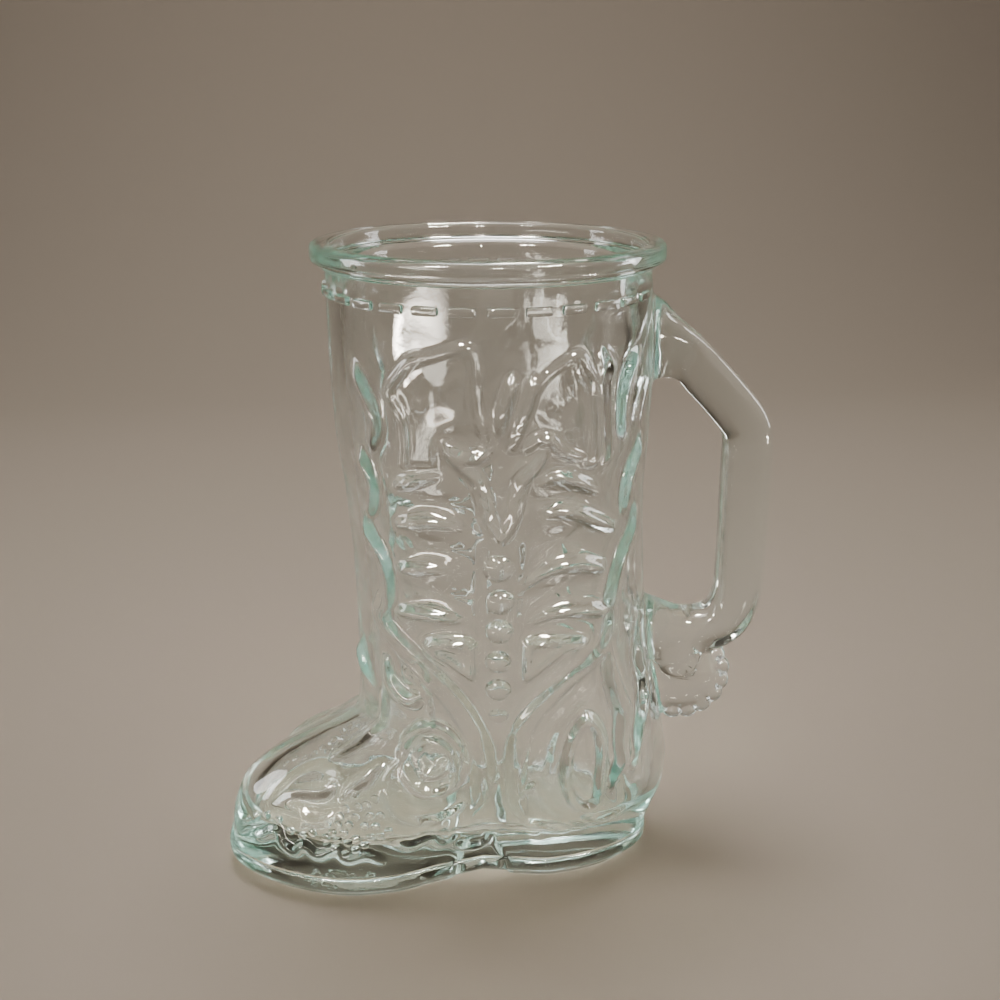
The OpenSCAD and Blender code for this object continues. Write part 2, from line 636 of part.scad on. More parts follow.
module feather_ribs() {
    glass(raised)
    difference() {
        both_sides()
            for (q = rib_shares) teardrop(q);
        boot_solid();
    }
}

// A rounded ridge along a line of places on the side
module ridge(line) {
    for (i = [0 : len(line) - 2])
        hull()
            for (q = [line[i], line[i + 1]])
                on_side(q) sphere(scroll_ridge, $fn = ridge_sides);
}

module ankle_scrolls() {
    steps = round(scroll_segments * scroll_turns);
    glass(raised)
    difference() {
        both_sides() {
            ridge([for (i = [0 : steps])
                let (k = i / steps, r = scroll_r * mix(1, scroll_in_share, k),
                     a = scroll_start + 360 * scroll_turns * k)
                [scroll_at_shares[1] + r * sin(a) / leg_h,
                 scroll_at_shares[0] + scroll_flat_share * r * cos(a) / neck_r]]);
            ridge(curl_shares);
            for (q = leaf_shares) teardrop(q);
        }
        boot_solid();
    }
}

rim_lip();
boot_leg();
boot_foot();
outsole();
sole_pad();
heel_pad();
handle();
spur_rowel();
stitch_row();
raised_panels();
button_rows();
feather_ribs();
ankle_scrolls();
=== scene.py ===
"""Boot mug pressed in clear glass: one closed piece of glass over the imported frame, on a pale floor.

The mug is drawn in millimetres about the leg's axis, toe towards -X and handle towards +X, and is
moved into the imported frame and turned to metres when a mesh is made."""
import bpy
import bmesh
import math
import numpy as np
from mathutils import Matrix, Vector


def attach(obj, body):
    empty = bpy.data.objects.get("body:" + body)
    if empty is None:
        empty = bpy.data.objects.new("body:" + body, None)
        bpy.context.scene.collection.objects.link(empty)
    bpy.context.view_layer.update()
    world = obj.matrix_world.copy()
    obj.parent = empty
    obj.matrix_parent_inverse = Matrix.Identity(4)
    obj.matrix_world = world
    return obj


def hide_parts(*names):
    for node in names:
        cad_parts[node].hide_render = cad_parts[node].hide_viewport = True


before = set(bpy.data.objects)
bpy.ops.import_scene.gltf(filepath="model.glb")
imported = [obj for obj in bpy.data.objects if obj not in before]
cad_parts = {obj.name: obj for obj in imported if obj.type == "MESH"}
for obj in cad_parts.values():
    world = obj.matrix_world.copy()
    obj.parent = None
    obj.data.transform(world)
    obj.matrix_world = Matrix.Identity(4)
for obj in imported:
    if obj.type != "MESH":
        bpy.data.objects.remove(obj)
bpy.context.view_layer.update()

MM = 0.001
# Driving sizes, as in the solids
MUG_H, LIP_OUT, LIP_H, STEP_OUT = 152.4, 3.0, 5.0, 1.1
NECK_R, ANKLE_FRONT, ANKLE_BACK, ANKLE_SIDE, WALL = 35.0, 31.6, 40.2, 28.2, 3.4
FOOT_H, TOE_REACH, HEEL_REACH, FLOOR_T, FLOOR_R = 41.0, 65.0, 44.6, 6.0, 4.5
BALL_W, WAIST_W, HEEL_W = 49.5, 34.0, 43.5
OUTSOLE_T, PAD_T, WELT, SOLE_R, ARCH_FRONT, ARCH_BACK = 4.6, 2.4, 0.9, 2.2, 10.5, 3.5
HANDLE_REACH, BAR_W, BAR_T, HANDLE_DROP, HANDLE_LOW = 66.2, 10.8, 10.4, 21.4, 57.6
ROWEL_R, ROWEL_T, TOOTH_T, TEETH, ROWEL_X, ROWEL_Z = 12.2, 7.6, 4.4, 16, 48.0, 45.5
STITCHES, STITCH_H, STITCH_DROP, STITCH_OUT = 30, 1.8, 4.6, 0.7
LEDGE = 2.1   # how much wider the mouth is above the ledge inside it
# Sizes of the scene's own: the boss, which stands prouder than the bar, and half a tooth of the rowel
BOSS_R, BOSS_T = 4.7, 11.6
LOBE_LONG, LOBE_WIDE = 3.0, 2.9

SOLE_H = PAD_T + OUTSOLE_T
ANKLE_Z = SOLE_H + FOOT_H
LEG_TOP = MUG_H - LIP_H
LEG_H = LEG_TOP - ANKLE_Z
FLOOR_Z = SOLE_H + FLOOR_T
MOUTH_R = NECK_R - WALL
AXIS_X = (TOE_REACH + WELT - HANDLE_REACH) / 2

# Shape of the boot, as shares: leg from ankle (0) to neck (1), foot from sole (0) to ankle (1)
LEG_FRONT = [(0, 0), (0.07, -0.06), (0.19, -0.06), (0.36, 0.06), (0.51, 0.38), (0.65, 0.82), (0.83, 1),
             (1, 1)]
LEG_BACK = [(0, 0), (0.07, 0.29), (0.14, 0.48), (0.22, 0.63), (0.32, 0.77), (0.42, 0.88), (0.5, 0.92),
            (0.6, 0.84), (0.7, 0.77), (0.83, 0.74), (1, 1)]
LEG_SIDE = [(0, 0), (0.12, 0.2), (0.32, 0.5), (0.52, 0.74), (0.72, 0.91), (1, 1)]
FOOT_FRONT = [(0, 1), (0.12, 0.99), (0.24, 0.95), (0.37, 0.88), (0.49, 0.735), (0.58, 0.565),
              (0.67, 0.35), (0.745, 0.15), (0.805, 0.05), (0.88, 0.012), (1, 0)]
FOOT_BACK = [(0, -0.3), (0.12, 0.32), (0.27, 0.89), (0.44, 1), (0.61, 0.77), (0.8, 0.39), (1, 0)]
FRONT_END = [(0, 0.62), (0.34, 1), (0.62, 1.55), (0.85, 1.25), (1, 1)]
BACK_END = [(0, 0.7), (0.3, 0.95), (1, 1)]
WAIST = 0.566
BALL = [(0, 0.26), (0.064, 0.58), (0.155, 0.86), (0.255, 1), (0.356, 0.83), (0.465, 0.34), (0.566, 0)]
HEEL = [(0.566, 0), (0.65, 0.46), (0.72, 0.88), (0.81, 1), (1, 1)]
# The bar's line, as shares of its reach and height, with its thickness as a share of the bar's
HANDLE = [(0.43, 1.1, 1.3), (0.506, 1.006, 1.75), (0.665, 0.94, 1.05), (0.745, 0.873, 1),
          (0.845, 0.775, 1), (0.89, 0.72, 1), (0.908, 0.655, 1), (0.914, 0.45, 1), (0.918, 0.22, 1),
          (0.912, 0.13, 1), (0.88, 0.055, 1), (0.82, 0.015, 1), (0.72, 0, 1.05), (0.62, 0.01, 1.25),
          (0.52, 0.035, 1.5)]

# Raised ornament on the side, in millimetres. A stroke is a line of (x, z, width), and its height.
# Three curved strokes, one over the other, make each scalloped rail
RAILS = [
    [(-29.0, 131.2, 1.0), (-27.7, 128.3, 2.4), (-26.2, 124.9, 2.9), (-24.9, 121.4, 3.2),
     (-24.6, 117.6, 3.0), (-25.4, 113.8, 2.0), (-26.0, 112.1, 0.9)],
    [(-28.0, 112.6, 1.2), (-26.9, 109.2, 2.8), (-25.8, 105.9, 3.0), (-25.5, 102.3, 2.8), (-26.1, 98.7, 2.2),
     (-26.9, 96.7, 1.2)],
    [(-27.8, 97.0, 1.4), (-26.7, 92.8, 2.9), (-24.7, 89.9, 3.1), (-23.6, 85.9, 3.4), (-23.2, 81.6, 3.5),
     (-23.4, 77.6, 3.6), (-24.6, 74.0, 3.6)],
    [(29.3, 132.4, 1.4), (27.3, 129.7, 2.9), (26.0, 126.2, 3.1), (25.4, 121.5, 3.1), (25.5, 117.6, 2.8),
     (26.7, 114.2, 1.2)],
    [(31.0, 113.4, 1.2), (30.2, 110.2, 2.2), (28.7, 107.2, 2.6), (27.7, 104.0, 2.6), (27.3, 100.4, 2.2),
     (28.1, 97.5, 1.4)],
    [(30.7, 96.4, 1.6), (29.8, 92.2, 2.4), (27.9, 89.4, 2.7), (26.5, 85.8, 3.0), (25.7, 82.3, 3.3),
     (24.8, 77.3, 3.6)],
]
STRAPS = [
    [(-24.2, 77.5, 3.6), (-24.6, 73.2, 4.4), (-22.4, 69.6, 5.2), (-19.4, 66.6, 5.8), (-14.8, 62.3, 6.0),
     (-11.0, 58.1, 6.0), (-7.4, 52.6, 6.0), (-5.0, 47.3, 5.8), (-3.6, 41.4, 5.4), (-3.4, 35.4, 4.8),
     (-3.9, 29.1, 3.8), (-5.8, 22.6, 2.4), (-7.6, 18.0, 1.2)],
    [(24.9, 77.5, 3.4), (25.0, 70.5, 3.6), (23.0, 66.0, 3.6), (19.7, 63.2, 3.9), (15.7, 60.8, 4.2),
     (11.9, 57.6, 4.6), (8.1, 53.6, 5.0), (5.4, 48.8, 5.4), (4.5, 43.3, 5.4), (4.2, 36.0, 4.6),
     (5.0, 27.3, 3.6), (7.2, 19.7, 2.6), (10.9, 12.9, 1.4)],
]
# Strokes down the heel, and the short one in front of the strap
ANKLE_STROKES = [
    [(24.6, 66.4, 2.2), (25.2, 60.5, 3.6), (27.2, 53.5, 4.2), (29.2, 47.4, 4.6), (28.9, 41.4, 4.2),
     (29.9, 35.0, 4.0), (28.4, 30.2, 3.6), (28.0, 26.4, 3.4), (29.6, 20.6, 2.0)],
    [(33.4, 66.0, 1.2), (33.2, 60.0, 2.6), (34.6, 54.0, 3.0), (35.2, 48.0, 3.2), (34.0, 41.0, 3.4),
     (33.6, 33.4, 3.0), (34.6, 26.0, 1.6)],
    [(-29.6, 63.4, 1.2), (-29.9, 60.0, 2.4), (-29.3, 56.6, 2.6), (-28.0, 52.8, 1.2)],
]
RIBS = [
    [(-20.8, 106.7, 0.9), (-18.4, 107.8, 2.7), (-15.6, 108.9, 2.0), (-12.4, 109.5, 0.9)],
    [(-21.0, 97.6, 0.9), (-18.1, 98.7, 2.9), (-14.4, 99.5, 2.6), (-10.2, 99.3, 1.8), (-7.8, 98.7, 0.8)],
    [(-21.0, 87.4, 0.9), (-18.4, 87.8, 3.0), (-14.6, 88.5, 2.4), (-11.0, 88.2, 0.9)],
    [(-21.4, 76.2, 0.9), (-19.0, 77.0, 3.1), (-14.4, 77.4, 2.8), (-10.5, 77.3, 1.9), (-7.6, 77.1, 0.8)],
    [(8.0, 108.4, 0.8), (11.0, 109.4, 2.2), (14.9, 108.1, 3.2), (18.1, 106.0, 2.6), (20.2, 104.4, 1.0)],
    [(9.2, 101.3, 0.8), (12.2, 101.7, 2.2), (16.2, 100.5, 3.0), (20.5, 97.6, 3.1), (24.4, 95.2, 2.0)],
    [(4.3, 84.8, 0.9), (7.6, 87.4, 2.0), (11.5, 89.3, 3.2), (16.6, 89.1, 3.8), (21.6, 86.9, 3.0)],
    [(6.4, 76.6, 0.9), (10.3, 78.2, 2.3), (14.9, 78.4, 3.2), (19.1, 77.5, 3.8), (22.3, 76.1, 3.0)],
]
TULIP = [
    [(-10.9, 117.2, 0.9), (-9.8, 114.6, 1.9), (-7.4, 112.0, 2.1), (-4.8, 109.5, 2.1), (-3.6, 105.5, 1.9),
     (-2.7, 101.5, 1.9), (-1.2, 98.2, 1.9), (0.1, 96.6, 1.7), (1.5, 98.2, 1.9), (2.8, 101.4, 1.9),
     (3.5, 105.4, 1.9), (4.6, 109.3, 2.1), (6.8, 111.6, 2.0), (8.4, 114.4, 1.8), (8.9, 117.3, 1.3)],
    [(-9.6, 115.6, 1.0), (-6.5, 113.9, 2.3), (-4.2, 114.3, 2.4), (-2.7, 115.2, 1.6)],
    [(5.2, 116.0, 1.0), (7.1, 117.5, 1.5), (9.4, 117.9, 1.7), (11.3, 116.0, 1.7), (13.8, 113.7, 1.5),
     (16.8, 112.5, 1.0)],
]
SLIM = [
    [(2.1, 129.9, 1.4), (1.5, 127.6, 2.5), (0.7, 124.6, 2.6), (0.0, 121.6, 2.2), (-0.3, 119.3, 1.1)],
    [(6.4, 129.8, 1.0), (5.8, 127.8, 1.9), (4.9, 124.4, 2.0), (3.9, 120.8, 1.6), (2.5, 116.4, 0.9)],
]
# The two tall panels stand out with a brighter rim round their arch
PANEL_FRONT = [(-21.6, 126.2), (-19.6, 129.9), (-17.2, 133.0), (-13.5, 134.4), (-9.2, 135.9), (-6.2, 136.6),
               (-5.0, 134.6), (-4.9, 129.0), (-4.4, 123.0), (-3.4, 119.0), (-9.8, 118.4), (-11.6, 115.0),
               (-12.2, 110.8), (-18.6, 110.4), (-18.4, 115.5), (-18.9, 121.2)]
PANEL_BACK = [(5.8, 122.8), (7.0, 127.9), (9.3, 130.8), (12.3, 132.8), (15.4, 133.9), (17.1, 131.2),
              (18.9, 127.7), (19.6, 122.4), (20.0, 116.6), (20.1, 110.8), (14.6, 110.9), (12.4, 114.2),
              (11.6, 117.8), (8.2, 119.8)]
PANEL_RIMS = [
    [(-18.9, 111.0, 0.9), (-18.5, 115.5, 1.1), (-19.0, 121.2, 1.2), (-21.3, 126.0, 1.4),
     (-19.5, 129.7, 1.6), (-17.2, 132.6, 1.7), (-13.2, 134.0, 1.5), (-9.2, 135.4, 1.6), (-6.2, 136.0, 2.0),
     (-5.2, 132.4, 1.8), (-5.1, 127.9, 1.6), (-4.6, 123.3, 1.6), (-3.6, 119.6, 1.6), (-2.5, 115.8, 1.1)],
    [(5.6, 123.4, 1.0), (6.9, 127.6, 1.2), (9.1, 130.4, 1.3), (12.3, 132.5, 1.4), (15.5, 133.6, 1.7),
     (17.1, 130.9, 1.7), (18.7, 127.7, 1.5), (19.5, 122.4, 1.4), (19.8, 116.6, 1.4), (20.0, 111.2, 1.2),
     (14.8, 111.2, 0.9)],
    [(20.8, 134.6, 0.9), (22.6, 130.6, 1.9), (22.0, 127.0, 2.2), (22.2, 123.0, 1.8), (22.7, 117.0, 1.6),
     (22.9, 111.4, 1.3), (20.9, 109.2, 0.9)],
]
PAD_FRONT = [(-16.6, 70.5), (-13.7, 72.6), (-9.5, 73.5), (-5.6, 73.4), (-4.5, 71.2), (-4.3, 67.2),
             (-4.7, 62.6), (-5.8, 61.6), (-8.4, 63.8), (-11.5, 66.0), (-14.9, 68.0)]
PAD_BACK = [(4.6, 72.9), (8.2, 73.6), (14.4, 72.6), (19.2, 71.0), (19.8, 69.4), (17.0, 68.6), (14.4, 68.1),
            (10.9, 65.5), (7.8, 62.8), (5.6, 61.1), (4.4, 63.1), (4.1, 67.8)]
# Scroll, curl and leaf on the ankle, the drop on the heel, and the lines round them
SCROLL = [
    [(-7.6, 36.6, 1.0), (-7.4, 40.3, 2.0), (-8.5, 44.5, 2.2), (-11.6, 47.8, 2.3), (-15.4, 48.2, 2.3),
     (-18.8, 44.8, 2.3), (-20.9, 39.8, 2.4), (-20.8, 35.4, 2.5), (-18.6, 32.0, 2.5), (-14.8, 30.5, 2.5),
     (-11.0, 32.2, 2.3), (-9.6, 35.8, 1.9), (-10.2, 40.6, 1.8), (-12.6, 43.9, 1.8), (-15.9, 43.7, 1.8),
     (-18.0, 40.4, 1.8), (-17.8, 36.9, 1.8), (-15.5, 34.9, 1.8), (-12.9, 35.9, 1.7), (-12.3, 38.6, 1.6)],
    [(-23.5, 35.6, 1.0), (-25.2, 31.6, 1.9), (-24.4, 27.6, 2.3), (-21.8, 24.2, 2.6), (-17.9, 22.5, 2.4),
     (-13.9, 22.5, 2.1), (-9.8, 24.3, 1.6), (-7.6, 26.8, 0.9)],
]
LEAVES = [
    [(-24.3, 63.0, 1.2), (-23.6, 58.2, 3.4), (-21.6, 54.8, 4.6), (-19.2, 54.0, 4.6), (-17.3, 55.8, 2.6)],
    [(-35.8, 27.4, 1.2), (-33.4, 29.8, 2.6), (-30.4, 31.6, 2.6), (-27.4, 34.6, 1.2)],
    [(-46.6, 22.6, 1.2), (-44.2, 21.0, 2.4), (-41.2, 21.2, 2.4), (-38.4, 23.2, 1.2)],
]
LINES = [
    [(-19.6, 61.0, 0.9), (-17.0, 59.4, 1.4), (-15.6, 56.9, 1.4), (-15.0, 53.2, 1.3), (-15.0, 50.2, 1.0)],
    [(20.4, 53.6, 0.9), (17.0, 51.8, 1.5), (14.2, 47.8, 1.6), (12.4, 42.1, 1.7), (12.2, 34.3, 1.7),
     (13.8, 27.3, 1.8), (16.9, 21.5, 1.9), (22.1, 17.7, 1.9), (27.7, 16.5, 1.6), (31.6, 17.8, 1.1)],
    [(3.5, 27.0, 0.9), (6.1, 28.8, 1.4), (7.7, 31.9, 1.5), (10.1, 28.2, 1.4), (12.6, 24.3, 1.5),
     (16.7, 18.6, 1.5), (21.1, 15.9, 1.1)],
    [(3.6, 26.8, 0.9), (5.4, 21.9, 1.3), (7.5, 19.0, 1.4), (12.1, 17.4, 1.3), (16.8, 15.6, 0.9)],
    [(-10.9, 21.6, 0.9), (-11.6, 16.5, 1.4), (-9.6, 12.2, 1.5), (-5.8, 10.2, 1.5), (-2.5, 10.9, 1.4),
     (-1.5, 13.6, 0.9)],
    [(-50.8, 22.6, 1.0), (-46.2, 22.9, 1.6), (-44.7, 20.7, 1.6), (-46.4, 18.9, 1.0)],
    [(-57.6, 12.6, 1.0), (-55.0, 14.0, 1.7), (-52.2, 16.2, 1.9), (-50.6, 13.4, 1.8), (-47.6, 12.0, 1.8),
     (-45.6, 14.5, 2.0), (-42.0, 12.4, 1.9), (-38.2, 14.8, 1.9), (-35.2, 12.2, 1.8), (-31.0, 13.4, 1.7),
     (-27.0, 11.2, 1.2)],
    [(-24.6, 17.8, 1.0), (-20.4, 14.8, 1.8), (-16.0, 16.2, 1.9), (-13.2, 13.2, 1.7), (-9.6, 14.8, 1.2)],
    [(-37.2, 33.6, 0.9), (-31.6, 37.0, 1.3), (-27.4, 41.4, 1.4), (-25.6, 46.6, 1.3), (-25.4, 52.6, 0.9)],
]
DROP = [(19.4, 52.6), (16.2, 49.2), (13.9, 43.6), (13.3, 34.6), (14.9, 27.0), (18.2, 21.6), (22.4, 19.6),
        (25.6, 21.6), (26.4, 28.3), (26.0, 36.5), (25.2, 44.0), (22.8, 49.6)]
DROP_EYE = [[(16.9, 31.0, 1.6), (17.5, 26.8, 3.4), (19.8, 23.6, 3.4), (22.6, 23.2, 1.8)]]
# Leaf on the vamp, over the toes
VAMP_LEAF = [(-55.0, 21.2), (-51.2, 25.8), (-46.2, 29.8), (-41.6, 31.9), (-37.8, 31.5), (-36.4, 29.0),
             (-39.0, 25.8), (-45.0, 24.4), (-50.8, 21.8)]
# The low band that the buttons sit on
PLACKET = [(-4.6, 96.0), (4.6, 96.0), (4.9, 84.0), (4.7, 72.0), (4.2, 62.0), (3.0, 54.0), (0.0, 50.0),
           (-3.0, 54.0), (-4.2, 62.0), (-4.7, 72.0), (-4.9, 84.0)]
# Buttons down the middle: place, radius and height. The top one is nearly flat, the lowest is faint
BUTTONS = [(-0.2, 90.0, 3.3, 1.7), (0.1, 82.2, 3.2, 2.2), (0.0, 75.0, 3.1, 2.4), (-0.2, 67.4, 2.9, 2.4),
           (-0.1, 60.2, 2.9, 2.2), (0.1, 53.2, 2.2, 1.0)]
# Shallow dishes between the ribs: place, half width, half height and depth
DISHES = [(-13.5, 103.6, 8.0, 3.6, 0.8), (-13.5, 93.2, 8.0, 4.0, 0.9), (-13.5, 82.4, 8.0, 4.2, 0.9),
          (13.0, 104.6, 8.5, 3.6, 0.8), (12.0, 95.0, 8.5, 4.0, 0.9), (13.0, 83.2, 8.5, 4.2, 0.9),
          (-11.8, 126.0, 5.0, 8.0, 0.5), (12.6, 124.0, 5.0, 8.0, 0.5), (-30.5, 20.5, 9.0, 5.0, 0.4)]
# Where beads are sown: close ones behind the vamp, and a row of single ones towards the toe
BEAD_FIELD = [(-37.0, 25.5), (-33.7, 28.4), (-30.6, 29.4), (-28.0, 29.0), (-26.6, 26.6), (-26.0, 23.0),
              (-24.0, 19.4), (-29.3, 15.6), (-34.2, 13.4), (-39.3, 13.6), (-42.6, 15.8), (-40.6, 20.1)]
TOE_BEADS = [(-59.4, 15.4), (-57.2, 17.4), (-54.4, 18.9), (-51.4, 19.0), (-48.6, 17.2), (-45.8, 17.0),
             (-43.2, 18.2)]
# Leaves on the rowel's flat side: place, half length and half width, and slant in degrees
ROWEL_LEAVES = [(46.8, 47.4, 4.2, 1.3, 14), (50.0, 56.2, 3.6, 1.4, 58)]

# Raised fields with their height, bevel and hollow, round-backed strokes with their height, and
# flat-backed strokes with their height and bevel
FIELDS = [(PANEL_FRONT, 0.5, 2.4, 0), (PANEL_BACK, 0.5, 2.4, 0), (PAD_FRONT, 2.4, 1.5, 1.5),
          (PAD_BACK, 2.4, 1.5, 1.5), (DROP, 2.5, 2.2, 1.8), (VAMP_LEAF, 2.1, 2.0, 1.3),
          (PLACKET, 0.5, 1.4, 0)]
ROUND_STROKES = [(RIBS, 2.0), (TULIP, 1.8), (SLIM, 2.3), (PANEL_RIMS, 1.2), (SCROLL, 1.8), (LEAVES, 1.7),
                 (LINES, 1.3)]
FLAT_STROKES = [(RAILS, 1.6, 1.2), (STRAPS, 1.5, 1.7), (ANKLE_STROKES, 1.9, 1.3)]
EYE_H = 0.9
# How far the middle of a button and of a toe bead lies under the skin, and a toe bead's radius and rise
BUTTON_SUNK, BEAD_SUNK, BEAD_R, BEAD_H = 0.8, 0.3, 1.05, 0.6
SEAM_H, SEAM_W = 0.12, 0.7   # the seam that the mould's halves leave down the front


def curve(table, place):
    """Smooth curve through a table of (place, value), level where the table turns."""
    t = np.array([q[0] for q in table], float)
    v = np.array([q[1] for q in table], float)
    slope = np.diff(v) / np.diff(t)
    m = np.empty(len(t))
    m[0], m[-1] = slope[0], slope[-1]
    a, b = slope[:-1], slope[1:]
    m[1:-1] = np.where(a * b <= 0, 0, 2 * a * b / np.where(a + b == 0, 1, a + b))
    q = np.clip(place, t[0], t[-1])
    i = np.clip(np.searchsorted(t, q, side="right") - 1, 0, len(t) - 2)
    h = t[i + 1] - t[i]
    k = (q - t[i]) / h
    return ((1 + 2 * k) * (1 - k) ** 2 * v[i] + k * (1 - k) ** 2 * h * m[i]
            + k * k * (3 - 2 * k) * v[i + 1] + k * k * (k - 1) * h * m[i + 1])


def mix(a, b, k):
    return a + (b - a) * k


def ease(k):
    k = np.clip(k, 0, 1)
    return k * k * (3 - 2 * k)


def on_leg(z):
    return (z - ANKLE_Z) / LEG_H


def on_foot(z):
    return (z - SOLE_H) / FOOT_H


def front_x(z):
    return np.where(z >= ANKLE_Z, -mix(ANKLE_FRONT, NECK_R, curve(LEG_FRONT, on_leg(z))),
                    -mix(ANKLE_FRONT, TOE_REACH, curve(FOOT_FRONT, on_foot(z))))


def back_x(z):
    return np.where(z >= ANKLE_Z, mix(ANKLE_BACK, NECK_R, curve(LEG_BACK, on_leg(z))),
                    mix(ANKLE_BACK, HEEL_REACH, curve(FOOT_BACK, on_foot(z))))


def sole_side(x):
    """Half width of the sole at a place along it."""
    s = (x + TOE_REACH) / (TOE_REACH + HEEL_REACH)
    ball, heel = mix(WAIST_W, BALL_W, curve(BALL, s)), mix(WAIST_W, HEEL_W, curve(HEEL, s))
    return np.where(s < WAIST, ball, heel) / 2


def side_y(x, z):
    return np.where(z >= ANKLE_Z, mix(ANKLE_SIDE, NECK_R, curve(LEG_SIDE, on_leg(z))),
                    mix(sole_side(x), ANKLE_SIDE, ease(on_foot(z))))


def slice_at(angle, z, inset=0.0, lift=0.0):
    """Points of the boot's slices, drawn in by an inset. lift measures the instep square to its slope."""
    front, back = front_x(z + lift) + inset, back_x(z) - inset
    x = mix(front, back, (1 + np.cos(angle)) / 2)
    end = np.where(np.cos(angle) < 0, curve(FRONT_END, on_foot(z)), curve(BACK_END, on_foot(z)))
    y = (side_y(x, z) - inset) * np.abs(np.sin(angle)) ** end
    return x, np.where(np.sin(angle) < 0, -y, y)


def smooth_line(points, step):
    """The points of a smooth line through places, no further apart than a step."""
    p = np.array(points, float)
    out = []
    for i in range(len(p) - 1):
        a, b, c, d = p[max(i - 1, 0)], p[i], p[i + 1], p[min(i + 2, len(p) - 1)]
        n = max(1, int(math.ceil(np.linalg.norm((c - b)[:2]) / step)))
        for k in np.arange(n) / n:
            out.append(b + k / 2 * (c - a + k * (2 * a - 5 * b + 4 * c - d + k * (3 * b - 3 * c + d - a))))
    out.append(p[-1])
    return np.array(out)


def along(x, z, line):
    """For places near a drawn line: which they are, how far off it, and its half width there."""
    pts = smooth_line(line, 0.8)
    widest = pts[:, 2].max()
    near = ((x > pts[:, 0].min() - widest) & (x < pts[:, 0].max() + widest)
            & (z > pts[:, 1].min() - widest) & (z < pts[:, 1].max() + widest))
    px, pz = x[near], z[near]
    off, half = np.full(px.shape, np.inf), np.ones_like(px)
    for a, b in zip(pts[:-1], pts[1:]):
        d = b[:2] - a[:2]
        k = np.clip(((px - a[0]) * d[0] + (pz - a[1]) * d[1]) / (d @ d), 0, 1)
        far = np.hypot(px - a[0] - k * d[0], pz - a[1] - k * d[1])
        width = mix(a[2], b[2], k) / 2
        closer = far / width < off / half
        off, half = np.where(closer, far, off), np.where(closer, width, half)
    return near, off, half, widest / 2


def ridge(x, z, line, height):
    """Height of a round-backed stroke over places on the side. It is lower where it is narrower."""
    out = np.zeros_like(x)
    near, off, half, widest = along(x, z, line)
    half = half * 1.12   # a little wide, because polishing narrows it again
    rise = np.clip(1 - (off / half) ** 2, 0, 1) ** 1.25
    out[near] = height * rise * np.sqrt(np.clip(half / widest, 0, 1))
    return out


def ribbon(x, z, line, height, bevel):
    """Height of a flat-backed stroke with sloping edges."""
    out = np.zeros_like(x)
    near, off, half, widest = along(x, z, line)
    out[near] = height * ease((half * 1.1 - off) / bevel) * np.clip(1.3 * half / widest, 0, 1)
    return out


def depth_in(x, z, outline):
    """How far places lie inside a closed outline, and below nought outside it."""
    pts = smooth_line(list(outline) + [outline[0]], 1.2)[:, :2]
    inside = np.zeros(x.shape, bool)
    least = np.full(x.shape, np.inf)
    for a, b in zip(pts[:-1], pts[1:]):
        d = b - a
        k = np.clip(((x - a[0]) * d[0] + (z - a[1]) * d[1]) / (d @ d), 0, 1)
        least = np.minimum(least, np.hypot(x - a[0] - k * d[0], z - a[1] - k * d[1]))
        if d[1]:
            inside ^= ((a[1] > z) != (b[1] > z)) & (x < a[0] + (z - a[1]) / d[1] * d[0])
    return np.where(inside, least, -least)


def plateau(x, z, outline, height, bevel, hollow):
    """Height of a raised field, whose middle may be hollowed out inside its rim."""
    depth, slope = depth_in(x, z, outline), 1.6
    return height * ease(depth / bevel) - hollow * ease((depth - bevel) / slope)


def relief(x, z):
    """Height of all the raised ornament over places on one side."""
    h = np.zeros_like(x)
    for outline, height, bevel, hollow in FIELDS:
        h = np.maximum(h, plateau(x, z, outline, height, bevel, hollow))
    for lines, height in ROUND_STROKES:
        for line in lines:
            h = np.maximum(h, ridge(x, z, line, height))
    for lines, height, bevel in FLAT_STROKES:
        for line in lines:
            h = np.maximum(h, ribbon(x, z, line, height, bevel))
    for line in DROP_EYE:
        h = h + ridge(x, z, line, EYE_H)
    for at_x, at_z, wide, tall, depth in DISHES:
        u = np.hypot((x - at_x) / wide, (z - at_z) / tall)
        h = h - depth * np.clip(1 - u * u, 0, 1) ** 2
    return h


# The glass as one grid of rings: up the outside, over the lip, down the inside
SIDE_COLUMNS = 160
ROW = 0.65
NEAR_POLISH, FAR_POLISH = 0.8, 2.6   # rounding of the relief, in cells of the grid
REACH = 6                            # cells that one place of the grid is smoothed over, each way
# Ends of the lines that the underside and the floor of the hollow close on
UNDER_LINE, FLOOR_LINE = (-45.0, 24.0), (-44.0, 22.0)


def ring_angles(z, columns):
    """Angles of a ring's columns from the back to the front, closer together where ornament is."""
    carved = 34   # the ornament ends this far from the middle
    angle = np.linspace(0, math.pi, 1601)
    x, y = slice_at(angle, np.full_like(angle, z))
    if z > ANKLE_Z + 4:
        weight = mix(0.5, 1, ease((carved - np.abs(x)) / 6))
    else:
        weight = mix(0.6, 1, ease((carved - x) / 8))
    step = np.hypot(np.diff(x), np.diff(y)) * (weight[1:] + weight[:-1]) / 2
    run = np.concatenate([[0], np.cumsum(step)])
    return np.interp(np.linspace(0, run[-1], columns + 1), run, angle)


def full_ring(x, y, z, near=None):
    """A whole ring from the far side's points, back to front, and their mirror image or the near side."""
    far = np.stack([x, y, z], 1)
    near = far if near is None else near
    return np.concatenate([far, near[-2:0:-1] * [1, -1, 1]])


